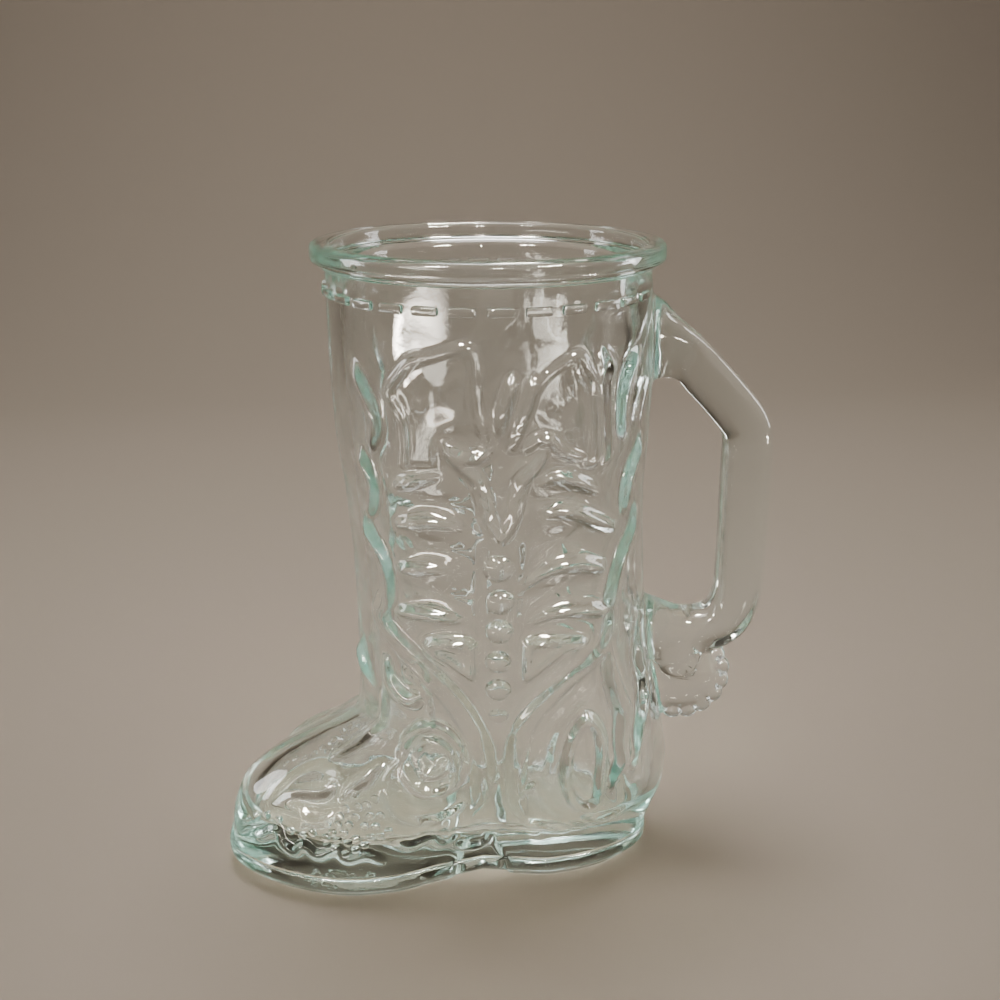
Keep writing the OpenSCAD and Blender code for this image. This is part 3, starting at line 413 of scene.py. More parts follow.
def softened(h, spread):
    """Heights on the grid rounded off over a few of its cells, as fire polishing rounds glass."""
    k = np.exp(-0.5 * (np.arange(-REACH, REACH + 1) / spread) ** 2)
    for axis in (0, 1):
        padded = np.pad(h, [(REACH, REACH) if a == axis else (0, 0) for a in (0, 1)], mode="edge")
        n = h.shape[axis]
        h = sum(w * np.take(padded, np.arange(i, i + n), axis) for i, w in enumerate(k / k.sum()))
    return h


def outer_rings():
    """Rings up the outside of the boot, from the sole line to the neck, with the ornament raised."""
    zs = np.linspace(SOLE_H, LEG_TOP, int(round((LEG_TOP - SOLE_H) / ROW)) + 1)
    angles = np.array([ring_angles(z, SIDE_COLUMNS) for z in zs])
    # The columns drift evenly from ring to ring where the weights change
    window = np.hanning(2 * REACH + 3)
    kernel = window[1:-1] / window.sum()
    padded = np.pad(angles, ((REACH, REACH), (0, 0)), mode="edge")
    angles = sum(k * padded[i:i + len(zs)] for i, k in enumerate(kernel))
    z = zs[:, None] + 0 * angles
    x, y = slice_at(angles, z)
    skin = np.stack([x, y, z], 2)
    out = np.cross(np.gradient(skin, axis=0), np.gradient(skin, axis=1))
    out[:, [0, -1], 1] = 0
    out *= np.sign((out[..., 0] * (x - (x[:, :1] + x[:, -1:]) / 2) + out[..., 1] * y))[..., None]
    out /= np.linalg.norm(out, axis=2)[..., None]
    ends = ease((z - SOLE_H) / 1.5) * ease((LEG_TOP - z) / 1.5)
    seam = np.where(x < 0, SEAM_H * np.exp(-(y / SEAM_W) ** 2), 0) * ease((z - SOLE_H) / 3)
    h = relief(x, z)
    # The photograph only shows soft forms through the glass, so the far side is polished rounder
    far, near = (skin + ((softened(h, spread) * ends + seam)[..., None]) * out
                 for spread in (FAR_POLISH, NEAR_POLISH))
    return [full_ring(*f.T, n) for f, n in zip(far, near)], angles


def arc(r, h, round_r, start, end, steps):
    """Points of a rounded corner, in radius and height, about its centre."""
    return [(r + round_r * math.cos(a), h + round_r * math.sin(a))
            for a in np.radians(np.linspace(start, end, steps))]


def lip_rings(angle):
    """Rings of the step and the lip: out from the neck, over the top and down to a ledge in the mouth."""
    out = NECK_R + LIP_OUT - 0.01
    profile = [(NECK_R + 0.15, -0.02)]
    profile += arc(NECK_R + STEP_OUT - 0.4, 0.42, 0.4, -80, 80, 6)
    profile += [(NECK_R + 0.62 * STEP_OUT, 0.86)]
    profile += arc(out - 1.0, 2.1, 1.0, -75, 0, 6)
    profile += arc(out - 1.25, LIP_H - 1.25, 1.25, 5, 80, 7)
    profile += arc(MOUTH_R + LEDGE + 1.1, LIP_H - 1.1, 1.1, 100, 180, 6)
    profile += [(MOUTH_R + LEDGE - 0.05, 2.2), (MOUTH_R + 0.9 * LEDGE, 1.5), (MOUTH_R + 0.55 * LEDGE, 0.95),
                (MOUTH_R + 0.15 * LEDGE, 0.45)]
    return [full_ring(r * np.cos(angle), r * np.sin(angle), LEG_TOP + h + 0 * angle) for r, h in profile]


def inner_rings():
    """Rings down the hollow, to the floor's edge."""
    rings = []
    zs = [*np.linspace(LEG_TOP - 0.3, ANKLE_Z, 24), *np.linspace(ANKLE_Z, FLOOR_Z + FLOOR_R, 14)[1:],
          *(FLOOR_Z + FLOOR_R * (1 - np.sin(np.radians((18, 36, 54, 72, 90)))))]
    for z in zs:
        k = min((z - FLOOR_Z) / FLOOR_R, 1)
        inset = WALL + FLOOR_R * (1 - math.sqrt(max(0.0, 1 - (1 - k) ** 2)))
        angle = ring_angles(z, SIDE_COLUMNS)[::2]
        x, y = slice_at(angle, np.full_like(angle, z), inset, 0.8 * inset)
        rings.append(full_ring(x, y, z + 0 * x))
    return rings


def plug_rings():
    """Rings of a plug that fills the hollow of the leg and a little of its wall."""
    rings = []
    for z in np.linspace(ANKLE_Z, LEG_TOP - 1, 50):
        angle = ring_angles(z, 60)
        rings.append(full_ring(*slice_at(angle, np.full_like(angle, z), WALL - 1.2), z + 0 * angle))
    return rings


def shrunk(ring, k, low, high):
    """A ring drawn in towards the line under the boot's middle, which ends at low and high."""
    target = np.clip(ring[:, 0], low, high)
    out = ring.copy()
    out[:, 0] = mix(ring[:, 0], target, k)
    out[:, 1] = ring[:, 1] * (1 - k)
    return out


def sole_rings():
    """Rings from the middle of the underside outwards and up to the welt."""
    angle = ring_angles(SOLE_H, SIDE_COLUMNS)[::2]
    z = np.full_like(angle, SOLE_H)

    def edge(inset, height):
        front = -TOE_REACH - WELT + inset
        back = float(back_x(np.array(SOLE_H))) + WELT - inset
        x = mix(front, back, (1 + np.cos(angle)) / 2)
        end = np.where(np.cos(angle) < 0, FRONT_END[0][1], BACK_END[0][1])
        y = (sole_side(x) + WELT - inset) * np.abs(np.sin(angle)) ** end
        return full_ring(x, y, height + 0 * x)

    outline = edge(SOLE_R + PAD_T / 2, 0.0)
    rings = [shrunk(outline, k, *UNDER_LINE)
             for k in (1.0, 0.97, 0.85, 0.7, 0.55, 0.4, 0.28, 0.18, 0.11, 0.06, 0.03, 0.0)]
    rings += [edge(SOLE_R + 0.55 * PAD_T, 0.02), edge(SOLE_R + 0.35 * PAD_T, 0.35 * PAD_T),
              edge(SOLE_R + 0.15 * PAD_T, 0.85 * PAD_T), edge(SOLE_R - 0.1, PAD_T)]
    rings += [edge(SOLE_R * (1 - math.sqrt(1 - (1 - k) ** 2)), PAD_T + SOLE_R * k)
              for k in (0.1, 0.25, 0.45, 0.7, 1.0)]
    rings += [edge(0.0, SOLE_H - 0.7), edge(0.12, SOLE_H - 0.25), edge(0.45, SOLE_H)]
    # The underside is lifted to the outsole at the arch, with a soft step at each pad
    for ring in rings:
        gap = np.minimum(ring[:, 0] + ARCH_FRONT, ARCH_BACK - ring[:, 0])
        ring[:, 2] = np.maximum(ring[:, 2], PAD_T * ease((gap + 0.5) / 2.2))
    return rings


def skin_mesh():
    """Points and faces of the whole boot: one closed grid."""
    outer, angles = outer_rings()
    sole = sole_rings()
    lip = lip_rings(angles[-1][::2])
    inner = inner_rings()
    rings = sole + outer + lip + inner
    rings += [shrunk(inner[-1], k, *FLOOR_LINE) for k in (0.25, 0.5, 0.75, 0.95, 1.0)]
    points, starts = [], []
    total = 0
    for ring in rings:
        starts.append(total)
        points.append(ring)
        total += len(ring)
    faces = []
    for i in range(len(rings) - 1):
        n, m = len(rings[i]), len(rings[i + 1])
        a, b = starts[i], starts[i + 1]
        if n == m:
            for j in range(n):
                k = (j + 1) % n
                faces.append((a + j, a + k, b + k, b + j))
        elif m == 2 * n:
            for j in range(n):
                k = (j + 1) % n
                faces.append((a + j, b + 2 * j + 1, b + 2 * j))
                faces.append((a + j, a + k, b + 2 * j + 1))
                faces.append((a + k, b + (2 * j + 2) % m, b + 2 * j + 1))
        else:
            for j in range(m):
                k = (j + 1) % m
                faces.append((a + 2 * j, a + 2 * j + 1, b + j))
                faces.append((a + 2 * j + 1, b + k, b + j))
                faces.append((a + 2 * j + 1, a + (2 * j + 2) % n, b + k))
    return np.concatenate(points), faces


def linked(name, data):
    """An object for a mesh, light or camera, in the scene."""
    obj = bpy.data.objects.new(name, data)
    bpy.context.scene.collection.objects.link(obj)
    return obj


def in_place(name, points, faces):
    """A closed mesh in metres, with its doubles merged and its faces outwards."""
    mesh = bpy.data.meshes.new(name)
    mesh.from_pydata((np.asarray(points) * MM).tolist(), [], faces)
    bm = bmesh.new()
    bm.from_mesh(mesh)
    bmesh.ops.remove_doubles(bm, verts=bm.verts, dist=0.002 * MM)
    bmesh.ops.dissolve_degenerate(bm, edges=bm.edges, dist=0.001 * MM)
    bmesh.ops.recalc_face_normals(bm, faces=bm.faces)
    bm.to_mesh(mesh)
    bm.free()
    return linked(name, mesh)


def make_object(name, points, faces):
    """A closed mesh moved from the leg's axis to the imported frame."""
    return in_place(name, np.asarray(points) + [AXIS_X, 0, 0], faces)


def lofted(rings):
    """Points and faces of a solid lofted through rings, with flat ends."""
    n = len(rings[0])
    faces = [tuple(range(n))[::-1]]
    for i in range(len(rings) - 1):
        for j in range(n):
            k = (j + 1) % n
            faces.append((i * n + j, i * n + k, i * n + n + k, i * n + n + j))
    faces.append(tuple(range((len(rings) - 1) * n, len(rings) * n)))
    return np.concatenate(rings), faces


def handle_rings():
    """The bar, lofted square to its line: a square section with its edges bevelled, all softly rounded."""
    top = MUG_H - HANDLE_DROP
    inside = 0.998   # a hair short, so that the bar stays inside the solids' box
    places = [(inside * q[0] * HANDLE_REACH, mix(HANDLE_LOW, top, q[1]), q[2]) for q in HANDLE]
    line = smooth_line(places, 1.6)
    d = np.gradient(line[:, :2], axis=0)
    d /= np.linalg.norm(d, axis=1)[:, None]
    angle = np.radians(np.arange(0, 360, 9) + 4.5)
    c, s = np.cos(angle), np.sin(angle)
    bevel = 1.2 * math.sqrt(2)   # how far out the bevels lie, where a flat side lies at 1
    sharp = 14                   # how sharply the sides and bevels meet
    r = sum(np.abs(q) ** sharp for q in (c, s, (c + s) / bevel, (c - s) / bevel)) ** (1 / sharp)
    u, v = c / r, s / r
    return [np.stack([p[0] + p[2] * BAR_W / 2 * u * e[1], p[2] * BAR_T / 2 * v,
                      p[1] - p[2] * BAR_W / 2 * u * e[0]], 1) for p, e in zip(line, d)]


def discs(x, z, profile):
    """Rings of a round solid whose axis runs across the boot, from its half profile of (y, radius)."""
    a = np.linspace(0, 2 * math.pi, 72, endpoint=False)
    sides = [(-y, r) for y, r in profile] + [(y, r) for y, r in reversed(profile)]
    return [np.stack([x + r * np.cos(a), y + 0 * a, z + r * np.sin(a)], 1) for y, r in sides]


def rowel_rings():
    """The rowel's hub: a flat disc with a bevel down to the rim that the teeth stand on."""
    hub, half, tooth = 0.66 * ROWEL_R, ROWEL_T / 2, TOOTH_T / 2
    return discs(ROWEL_X, ROWEL_Z, [(half, 0.5 * hub), (half, 0.92 * hub), (half - 0.2, hub),
                                    (tooth + 0.3, 0.82 * ROWEL_R), (tooth - 0.3, 0.93 * ROWEL_R)])


def boss_rings():
    """The boss: a ring with a dish in the middle."""
    half = BOSS_T / 2
    return discs(ROWEL_X - 0.15 * ROWEL_R, ROWEL_Z + 0.5 * ROWEL_R,
                 [(half - 0.75, 0.3 * BOSS_R), (half - 0.6, 0.58 * BOSS_R), (half, 0.78 * BOSS_R),
                  (half - 0.1, 0.88 * BOSS_R), (half - 0.7, BOSS_R)])


def pillow(depth, long, wide, round_off):
    """One small raised block that faces +X, with its edges rounded off."""
    rings = []
    for x, k in ((-depth, 0), (depth - round_off, 0), (depth - 0.4 * round_off, 0.25), (depth, 1)):
        half_y, half_z, soft = long / 2 - k * round_off, wide / 2 - k * round_off, 0.3 * wide
        ring = []
        for turn in range(16):
            a = math.radians(22.5 * turn + 11.25)
            ring.append((x, math.copysign(half_y - soft, math.cos(a)) + soft * math.cos(a),
                         math.copysign(half_z - soft, math.sin(a)) + soft * math.sin(a)))
        rings.append(np.array(ring))
    return lofted(rings)


def lobe():
    """One tooth of the rowel: a rounded bead, a little longer outwards, that faces +X."""
    rings = []
    for turn in np.radians(np.arange(-80, 81, 16)):
        a = np.linspace(0, 2 * math.pi, 16, endpoint=False)
        rings.append(np.stack([LOBE_LONG * math.sin(turn) + 0 * a, LOBE_WIDE * math.cos(turn) * np.cos(a),
                               0.58 * TOOTH_T * math.cos(turn) * np.sin(a)], 1))
    return lofted(rings)


def add(tree, kind, inputs=None, **settings):
    """Adds a node to a tree, with its settings, and its inputs as values or as links."""
    node = tree.nodes.new(kind)
    for key, value in settings.items():
        setattr(node, key, value)
    for key, value in (inputs or {}).items():
        if isinstance(value, bpy.types.NodeSocket):
            tree.links.new(value, node.inputs[key])
        else:
            node.inputs[key].default_value = value
    return node


def linear(code):
    """An sRGB hex colour as linear RGBA."""
    rgb = [int(code[i:i + 2], 16) / 255 for i in (1, 3, 5)]
    return [c / 12.92 if c <= 0.04045 else ((c + 0.055) / 1.055) ** 2.4 for c in rgb] + [1.0]


def pressed_glass():
    """Soda-lime glass, pressed in an iron mould and fire-polished: clear and glossy, with the soft
    ripple that the mould's chilled skin leaves, and aqua where light runs far through it."""
    material = bpy.data.materials.new("pressed_soda_lime_glass")
    material.use_nodes = True
    tree = material.node_tree
    tree.nodes.clear()
    place = add(tree, "ShaderNodeTexCoord").outputs["Object"]
    # Ripples about 9 mm apart, and an orange peel of about 0.7 mm that breaks up the edges of highlights
    ripple = add(tree, "ShaderNodeTexNoise", {
        "Vector": place, "Scale": 110.0, "Detail": 1.0, "Roughness": 0.4})
    peel = add(tree, "ShaderNodeTexNoise", {
        "Vector": place, "Scale": 1400.0, "Detail": 1.0, "Roughness": 0.5})
    wave = add(tree, "ShaderNodeBump", {
        "Height": ripple.outputs["Fac"], "Strength": 0.3, "Distance": 0.0006})
    skin = add(tree, "ShaderNodeBump", {
        "Height": peel.outputs["Fac"], "Normal": wave.outputs["Normal"], "Strength": 0.2,
        "Distance": 0.00004})
    # Faint handling haze in patches of 20 to 30 mm
    haze = add(tree, "ShaderNodeTexNoise", {
        "Vector": place, "Scale": 40.0, "Detail": 3.0, "Roughness": 0.6})
    gloss = add(tree, "ShaderNodeMapRange", {
        "Value": haze.outputs["Fac"], "From Min": 0.45, "From Max": 0.75, "To Min": 0.008, "To Max": 0.05})
    shader = add(tree, "ShaderNodeBsdfPrincipled", {
        "Base Color": linear("#FDFEFE"), "IOR": 1.52, "Transmission Weight": 1.0,
        "Roughness": gloss.outputs["Result"], "Normal": skin.outputs["Normal"]})
    tint = add(tree, "ShaderNodeVolumeAbsorption", {"Color": linear("#6AD3BE"), "Density": 6.0})
    add(tree, "ShaderNodeOutputMaterial", {
        "Surface": shader.outputs["BSDF"], "Volume": tint.outputs["Volume"]})
    return material


def new_tree(name, *inputs):
    """An empty tree of geometry nodes with a mesh going in and out, its other inputs, and their sockets."""
    tree = bpy.data.node_groups.new(name, "GeometryNodeTree")
    tree.interface.new_socket("Geometry", in_out="OUTPUT", socket_type="NodeSocketGeometry")
    tree.interface.new_socket("Geometry", in_out="INPUT", socket_type="NodeSocketGeometry")
    for label, kind in inputs:
        tree.interface.new_socket(label, in_out="INPUT", socket_type="NodeSocket" + kind)
    return tree, add(tree, "NodeGroupInput").outputs


def closed_tree(tree, instances):
    """Ends a tree: its instances are made real and given the glass."""
    real = add(tree, "GeometryNodeRealizeInstances", {"Geometry": instances})
    done = add(tree, "GeometryNodeSetMaterial", {"Geometry": real.outputs["Geometry"], "Material": glass})
    add(tree, "NodeGroupOutput", {0: done.outputs["Geometry"]})
    return tree


def ring_tree():
    """Repeats one piece round a circle, facing outwards, except within a gap of the +X direction."""
    tree, given = new_tree("ring_of_pieces", ("Count", "Int"), ("Radius", "Float"), ("Gap", "Float"))
    ring = add(tree, "GeometryNodeMeshCircle", {"Vertices": given["Count"], "Radius": given["Radius"]})
    half = add(tree, "ShaderNodeMath", {0: math.pi, 1: given["Count"]}, operation="DIVIDE")
    turned = add(tree, "ShaderNodeCombineXYZ", {"Z": half.outputs[0]})
    placed = add(tree, "GeometryNodeTransform", {
        "Geometry": ring.outputs["Mesh"], "Rotation": turned.outputs[0]})
    apart = add(tree, "ShaderNodeSeparateXYZ", {0: add(tree, "GeometryNodeInputPosition").outputs[0]})
    heading = add(tree, "ShaderNodeMath", {
        0: apart.outputs["Y"], 1: apart.outputs["X"]}, operation="ARCTAN2")
    off = add(tree, "ShaderNodeMath", {0: heading.outputs[0]}, operation="ABSOLUTE")
    clear = add(tree, "ShaderNodeMath", {0: off.outputs[0], 1: given["Gap"]}, operation="GREATER_THAN")
    facing = add(tree, "ShaderNodeCombineXYZ", {"Z": heading.outputs[0]})
    each = add(tree, "GeometryNodeInstanceOnPoints", {
        "Points": placed.outputs["Geometry"], "Selection": clear.outputs[0], "Instance": given["Geometry"],
        "Rotation": facing.outputs[0]})
    return closed_tree(tree, each.outputs["Instances"])


def dome_tree():
    """Sets a dome on each point, squashed to the point's own size and turned about Y."""
    tree, given = new_tree("raised_domes", ("Segments", "Int"))
    ball = add(tree, "GeometryNodeMeshUVSphere", {
        "Segments": given["Segments"], "Rings": 10, "Radius": 1.0})
    size = add(tree, "GeometryNodeInputNamedAttribute", {"Name": "size"}, data_type="FLOAT_VECTOR")
    slant = add(tree, "GeometryNodeInputNamedAttribute", {"Name": "slant"}, data_type="FLOAT")
    turned = add(tree, "ShaderNodeCombineXYZ", {"Y": slant.outputs["Attribute"]})
    each = add(tree, "GeometryNodeInstanceOnPoints", {
        "Points": given["Geometry"], "Instance": ball.outputs["Mesh"], "Scale": size.outputs["Attribute"],
        "Rotation": turned.outputs[0]})
    return closed_tree(tree, each.outputs["Instances"])


def bead_tree():
    """Sows small beads over a patch of the skin at an even distance."""
    tree, given = new_tree("sown_beads", ("Apart", "Float"), ("Radius", "Float"), ("Seed", "Int"))
    sown = add(tree, "GeometryNodeDistributePointsOnFaces", {
        "Mesh": given["Geometry"], "Distance Min": given["Apart"], "Density Max": 900000.0,
        "Seed": given["Seed"]}, distribute_method="POISSON")
    bead = add(tree, "GeometryNodeMeshIcoSphere", {"Radius": given["Radius"], "Subdivisions": 2})
    each = add(tree, "GeometryNodeInstanceOnPoints", {
        "Points": sown.outputs["Points"], "Instance": bead.outputs["Mesh"],
        "Rotation": sown.outputs["Rotation"]})
    return closed_tree(tree, each.outputs["Instances"])


def grown(tree, holder, **values):
    """Turns the holder into the mesh that a tree of geometry nodes makes of it."""
    modifier = holder.modifiers.new("nodes", "NODES")
    modifier.node_group = tree
    for item in tree.interface.items_tree:
        if item.in_out == "INPUT" and item.name in values:
            modifier[item.identifier] = values[item.name]
    bpy.context.view_layer.update()
    mesh = bpy.data.meshes.new_from_object(holder.evaluated_get(bpy.context.evaluated_depsgraph_get()))
    holder.modifiers.remove(modifier)
    holder.data = mesh
    return holder


def skin_y(x, z):
    """How far out the bare skin is at a place on the side."""
    front, back = front_x(z), back_x(z)
    angle = np.arccos(np.clip((2 * x - front - back) / (back - front), -1, 1))
    return slice_at(angle, z)[1]


def dome_points():
    """A mesh of loose points, one for each dome on both sides, that carries each dome's size and slant."""
    rows = []
    lift = 0.3   # the band under the buttons raises them a little
    # Each dome is a flattened ball whose middle lies under the skin, so that only its crown stands out
    for x, z, r, h, sunk in ([(*button, BUTTON_SUNK) for button in BUTTONS]
                             + [(x, z, BEAD_R, BEAD_H, BEAD_SUNK) for x, z in TOE_BEADS]):
        wide = r / math.sqrt(1 - (sunk / (h + sunk)) ** 2)
        rows.append((x, float(skin_y(np.array(x), np.array(z))) + lift - sunk, z, wide, h + sunk, wide, 0.0))
    rows += [(x, ROWEL_T / 2 - 0.1, z, long, 0.9, wide, math.radians(slant))
             for x, z, long, wide, slant in ROWEL_LEAVES]
    at = np.array([[q[0], side * q[1], *q[2:]] for q in rows for side in (-1, 1)])
    mesh = bpy.data.meshes.new("dome_points")
    mesh.from_pydata(((at[:, :3] + [AXIS_X, 0, 0]) * MM).tolist(), [], [])
    size = mesh.attributes.new("size", "FLOAT_VECTOR", "POINT")
    size.data.foreach_set("vector", (at[:, 3:6] * MM).ravel())
    slant = mesh.attributes.new("slant", "FLOAT", "POINT")
    slant.data.foreach_set("value", at[:, 6].copy())
    return linked("dome_points", mesh)


def bead_patch():
    """The part of the skin, on both sides, that beads are sown over."""
    xs, zs = np.meshgrid(np.arange(-44, -22, 0.7), np.arange(12, 31, 0.7), indexing="ij")
    y = skin_y(xs, zs)
    keep = depth_in(xs, zs, BEAD_FIELD) > 0
    n, m = xs.shape
    points = np.concatenate([np.stack([xs, side * y, zs], 2).reshape(-1, 3) for side in (-1, 1)])
    faces = []
    for i in range(n - 1):
        for j in range(m - 1):
            if keep[i:i + 2, j:j + 2].all():
                face = (i * m + j, (i + 1) * m + j, (i + 1) * m + j + 1, i * m + j + 1)
                faces += [face, tuple(n * m + q for q in reversed(face))]
    mesh = bpy.data.meshes.new("bead_patch")
    mesh.from_pydata(((points + [AXIS_X, 0, 0]) * MM).tolist(), [], faces)
    return linked("bead_patch", mesh)


def combined(body, way, *others):
    """Joins other closed pieces into the body, as the press does in one go, or cuts them out of it."""
    for other in others:
        modifier = body.modifiers.new("combined", "BOOLEAN")
        modifier.operation, modifier.solver, modifier.object = way, "MANIFOLD", other
        bpy.context.view_layer.update()
        mesh = bpy.data.meshes.new_from_object(body.evaluated_get(bpy.context.evaluated_depsgraph_get()))
        body.modifiers.remove(modifier)
        body.data = mesh
        bpy.data.objects.remove(other)
    return body


def soften_creases(body, limit, turns):
    """Rounds the creases sharper than a limit where the handle and the rowel meet the boot, as glass
    flows there, by moving their points a number of turns."""
    root_x, root_side, root_low, root_high = 30, 14, 30, MUG_H - 2 * LIP_H
    bm = bmesh.new()
    bm.from_mesh(body.data)
    bmesh.ops.remove_doubles(bm, verts=bm.verts, dist=0.01 * MM)
    near = set()
    for edge in bm.edges:
        x, y, z = (edge.verts[0].co + edge.verts[1].co) / (2 * MM)
        at_handle = x > root_x and abs(y) < root_side and root_low < z < root_high
        if at_handle and edge.calc_face_angle(0) > limit:
            near.update(edge.verts)
    for _ in range(3):
        near |= {e.other_vert(v) for v in near for e in v.link_edges}
    for _ in range(turns):
        bmesh.ops.smooth_vert(bm, verts=list(near), factor=0.5, use_axis_x=True, use_axis_y=True,
                              use_axis_z=True)
    bm.to_mesh(body.data)
    bm.free()


def without_pockets(body, least):
    """Deletes the tiny closed pockets, of fewer points than the least, that joining leaves in the glass."""
    bm = bmesh.new()
    bm.from_mesh(body.data)
    left = set(bm.verts)
    while left:
        pocket, growing = set(), [left.pop()]
        while growing:
            at = growing.pop()
            pocket.add(at)
            near = {e.other_vert(at) for e in at.link_edges} & left
            left -= near
            growing += near
        if len(pocket) < least:
            bmesh.ops.delete(bm, geom=list(pocket), context="VERTS")
    bm.to_mesh(body.data)
    bm.free()


glass = pressed_glass()
body = make_object("pressed_glass_boot_mug", *skin_mesh())
# The bar starts within the wall, and what would stand in the hollow is cut off it
bar = combined(make_object("handle_bar", *lofted(handle_rings())), "DIFFERENCE",
               make_object("hollow_plug", *lofted(plug_rings())))
body = combined(body, "UNION", bar, make_object("rowel_hub", *lofted(rowel_rings())),
                make_object("rowel_boss", *lofted(boss_rings())))
soften_creases(body, math.radians(22), 12)

rings = ring_tree()
turn = 2 * math.pi / STITCHES
# A stitch takes up 0.72 of its share of the neck. It starts inside the wall and has softly rounded edges
stitch = pillow(STITCH_OUT + 0.55, 0.72 * turn * NECK_R, STITCH_H, 0.28)
stitches = grown(rings, in_place("stitches", *stitch), Count=STITCHES, Radius=(NECK_R - 0.5) * MM,
                 Gap=math.asin(0.8 * BAR_W / NECK_R) + turn / 2)
stitches.data.transform(Matrix.Translation(Vector((AXIS_X, 0, LEG_TOP - STITCH_DROP)) * MM))
teeth = grown(rings, in_place("teeth", *lobe()), Count=TEETH, Radius=(ROWEL_R - LOBE_LONG) * MM, Gap=-1.0)
teeth.data.transform(Matrix.Translation(Vector((AXIS_X + ROWEL_X, 0, ROWEL_Z)) * MM)
                     @ Matrix.Rotation(math.pi / 2, 4, "X"))
domes = grown(dome_tree(), dome_points(), Segments=20)
beads = grown(bead_tree(), bead_patch(), Apart=2.1 * MM, Radius=1.1 * MM, Seed=7)
body = combined(body, "UNION", stitches, teeth, domes, beads)
without_pockets(body, 100)

body.data.materials.clear()
body.data.materials.append(glass)
body.data.polygons.foreach_set("material_index", np.zeros(len(body.data.polygons), np.int32))
body.data.polygons.foreach_set("use_smooth", np.ones(len(body.data.polygons), bool))
body.data.set_sharp_from_angle(angle=math.radians(52))
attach(body, "root")
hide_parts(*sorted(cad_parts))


def painted_board():
    """Matt painted board for the floor and the curved backdrop: one pale colour, with no gloss at all."""
    material = bpy.data.materials.new("matt_painted_board")
    material.use_nodes = True
    shader = material.node_tree.nodes["Principled BSDF"]
    shader.inputs["Base Color"].default_value = linear("#C2B6A8")
    shader.inputs["Roughness"].default_value = 0.9
    shader.inputs["Specular IOR Level"].default_value = 0.0
    return material


# The floor runs back and curves up into the backdrop, in metres, a hair below the mug's pads
back, bend = 0.45, 0.35
sweep = [(-3.0, 0.0), (back, 0.0)]
sweep += [(back + bend * math.sin(a), bend * (1 - math.cos(a))) for a in np.radians(np.arange(5, 91, 5))]
sweep += [(back + bend, 2.2)]
backdrop = bpy.data.meshes.new("floor_and_backdrop")
backdrop.from_pydata([(x, y, z - 0.0003) for y, z in sweep for x in (-3, 3)], [],
                     [(2 * i, 2 * i + 1, 2 * i + 3, 2 * i + 2) for i in range(len(sweep) - 1)])
backdrop.polygons.foreach_set("use_smooth", np.ones(len(backdrop.polygons), bool))
backdrop.materials.append(painted_board())
linked("floor_and_backdrop", backdrop)


def faded(light):
    """Lets a light fade from its middle to its edge, so that the glass mirrors it as a soft patch."""
    light.use_nodes = True
    tree = light.node_tree
    place = add(tree, "ShaderNodeNewGeometry").outputs["Parametric"]
    off = add(tree, "ShaderNodeVectorMath", {0: place, 1: (0.5, 0.5, 0.0)}, operation="DISTANCE")
    glow = add(tree, "ShaderNodeMapRange", {
        "Value": off.outputs["Value"], "From Min": 0.5, "From Max": 0.0, "To Min": 0.0, "To Max": 2.4})
    tree.links.new(glow.outputs["Result"], tree.nodes["Emission"].inputs["Strength"])


def softbox(name, at, towards, size, power, code="#FFFFFF", on_floor=True, fades=False):
    """A soft studio light, unseen by the camera. One that isn't on the floor shows in the glass only."""
    light = bpy.data.lights.new(name, "AREA")
    light.shape = "ELLIPSE"
    light.size, light.size_y = size
    light.energy = power
    light.color = linear(code)[:3]
    if fades:
        faded(light)
    lamp = linked(name, light)
    lamp.location = at
    lamp.rotation_euler = (Vector(towards) - Vector(at)).to_track_quat("-Z", "Y").to_euler()
    lamp.visible_diffuse = on_floor
    lamp.visible_camera = False


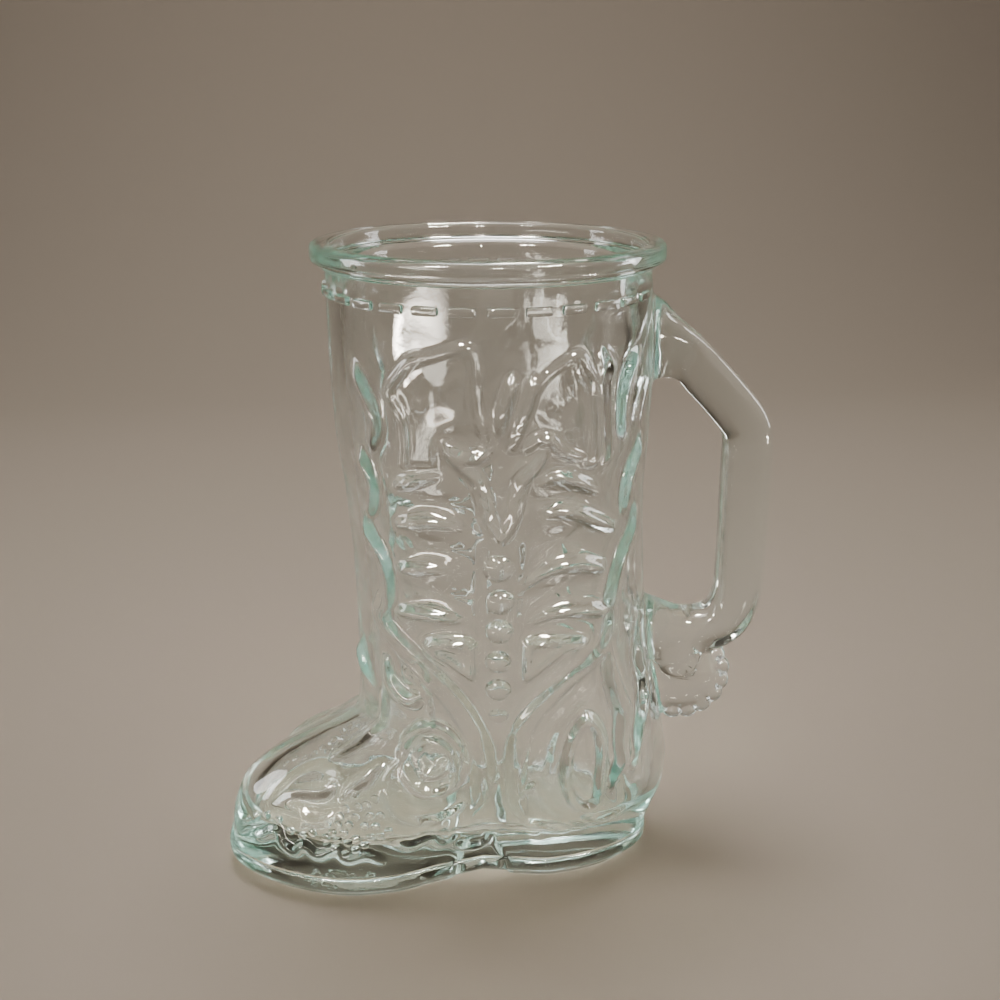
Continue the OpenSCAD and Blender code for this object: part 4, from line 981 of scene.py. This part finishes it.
# One large soft light over the mug, two beside it that shine through its edges, a wide dim panel in
# front, two windows and two lamps that glint on the relief, and low lights that the walls mirror
softbox("overhead", (0.0, 0.1, 0.85), (0, 0.08, 0), (0.5, 0.4), 4.2)
softbox("side_left", (-0.7, 0.1, 0.25), (0, 0, 0.08), (0.2, 0.4), 1.6, on_floor=False)
softbox("side_right", (0.7, 0.1, 0.25), (0, 0, 0.08), (0.2, 0.4), 1.6, on_floor=False)
softbox("front_panel", (0.0, -1.0, 0.3), (0, 0, 0.06), (1.8, 0.6), 0.6, on_floor=False)
for name, at, size, power, fades in (
        ("window_left", (-0.42, -0.5, 0.65), (0.2, 0.13), 14.0, False),
        ("window_right", (0.4, -0.5, 0.6), (0.2, 0.13), 14.0, False),
        ("lamp_front", (0.02, -0.7, 0.42), (0.09, 0.07), 4.0, False),
        ("lamp_back", (0.1, 0.4, 0.8), (0.14, 0.09), 7.0, False),
        ("low_left", (-0.37, -0.33, 0.03), (0.34, 0.05), 0.7, True),
        ("low_left_core", (-0.45, -0.21, 0.025), (0.09, 0.03), 0.35, True),
        ("low_right", (0.44, -0.24, 0.02), (0.12, 0.03), 0.5, True)):
    softbox(name, at, (0, 0, 0.09), size, power, "#FFF6EA", on_floor=False, fades=fades)

# Faint even light from all sides
world = bpy.data.worlds.new("studio")
bpy.context.scene.world = world
world.use_nodes = True
world.node_tree.nodes["Background"].inputs["Color"].default_value = linear("#C8C0B6")
world.node_tree.nodes["Background"].inputs["Strength"].default_value = 0.13

# The photograph's view: 1100 pixels of focal length on 1000, from in front and above
bpy.context.scene.view_settings.look = "AgX - Medium High Contrast"
camera = linked("camera", bpy.data.cameras.new("camera"))
camera.data.sensor_width = 36.0
camera.data.lens = 36.0 * 1.1
camera.data.clip_start = 0.01
camera.location = Vector((-16.3 + AXIS_X, -239.4, 180.1)) * MM
camera.rotation_euler = Vector((0.0738, 0.9371, -0.3412)).to_track_quat("-Z", "Y").to_euler()
bpy.context.scene.camera = camera
# Light that is caught in the rails and the thick sole needs many turns to get out
paths = bpy.context.scene.cycles
paths.max_bounces = paths.glossy_bounces = paths.transmission_bounces = 48
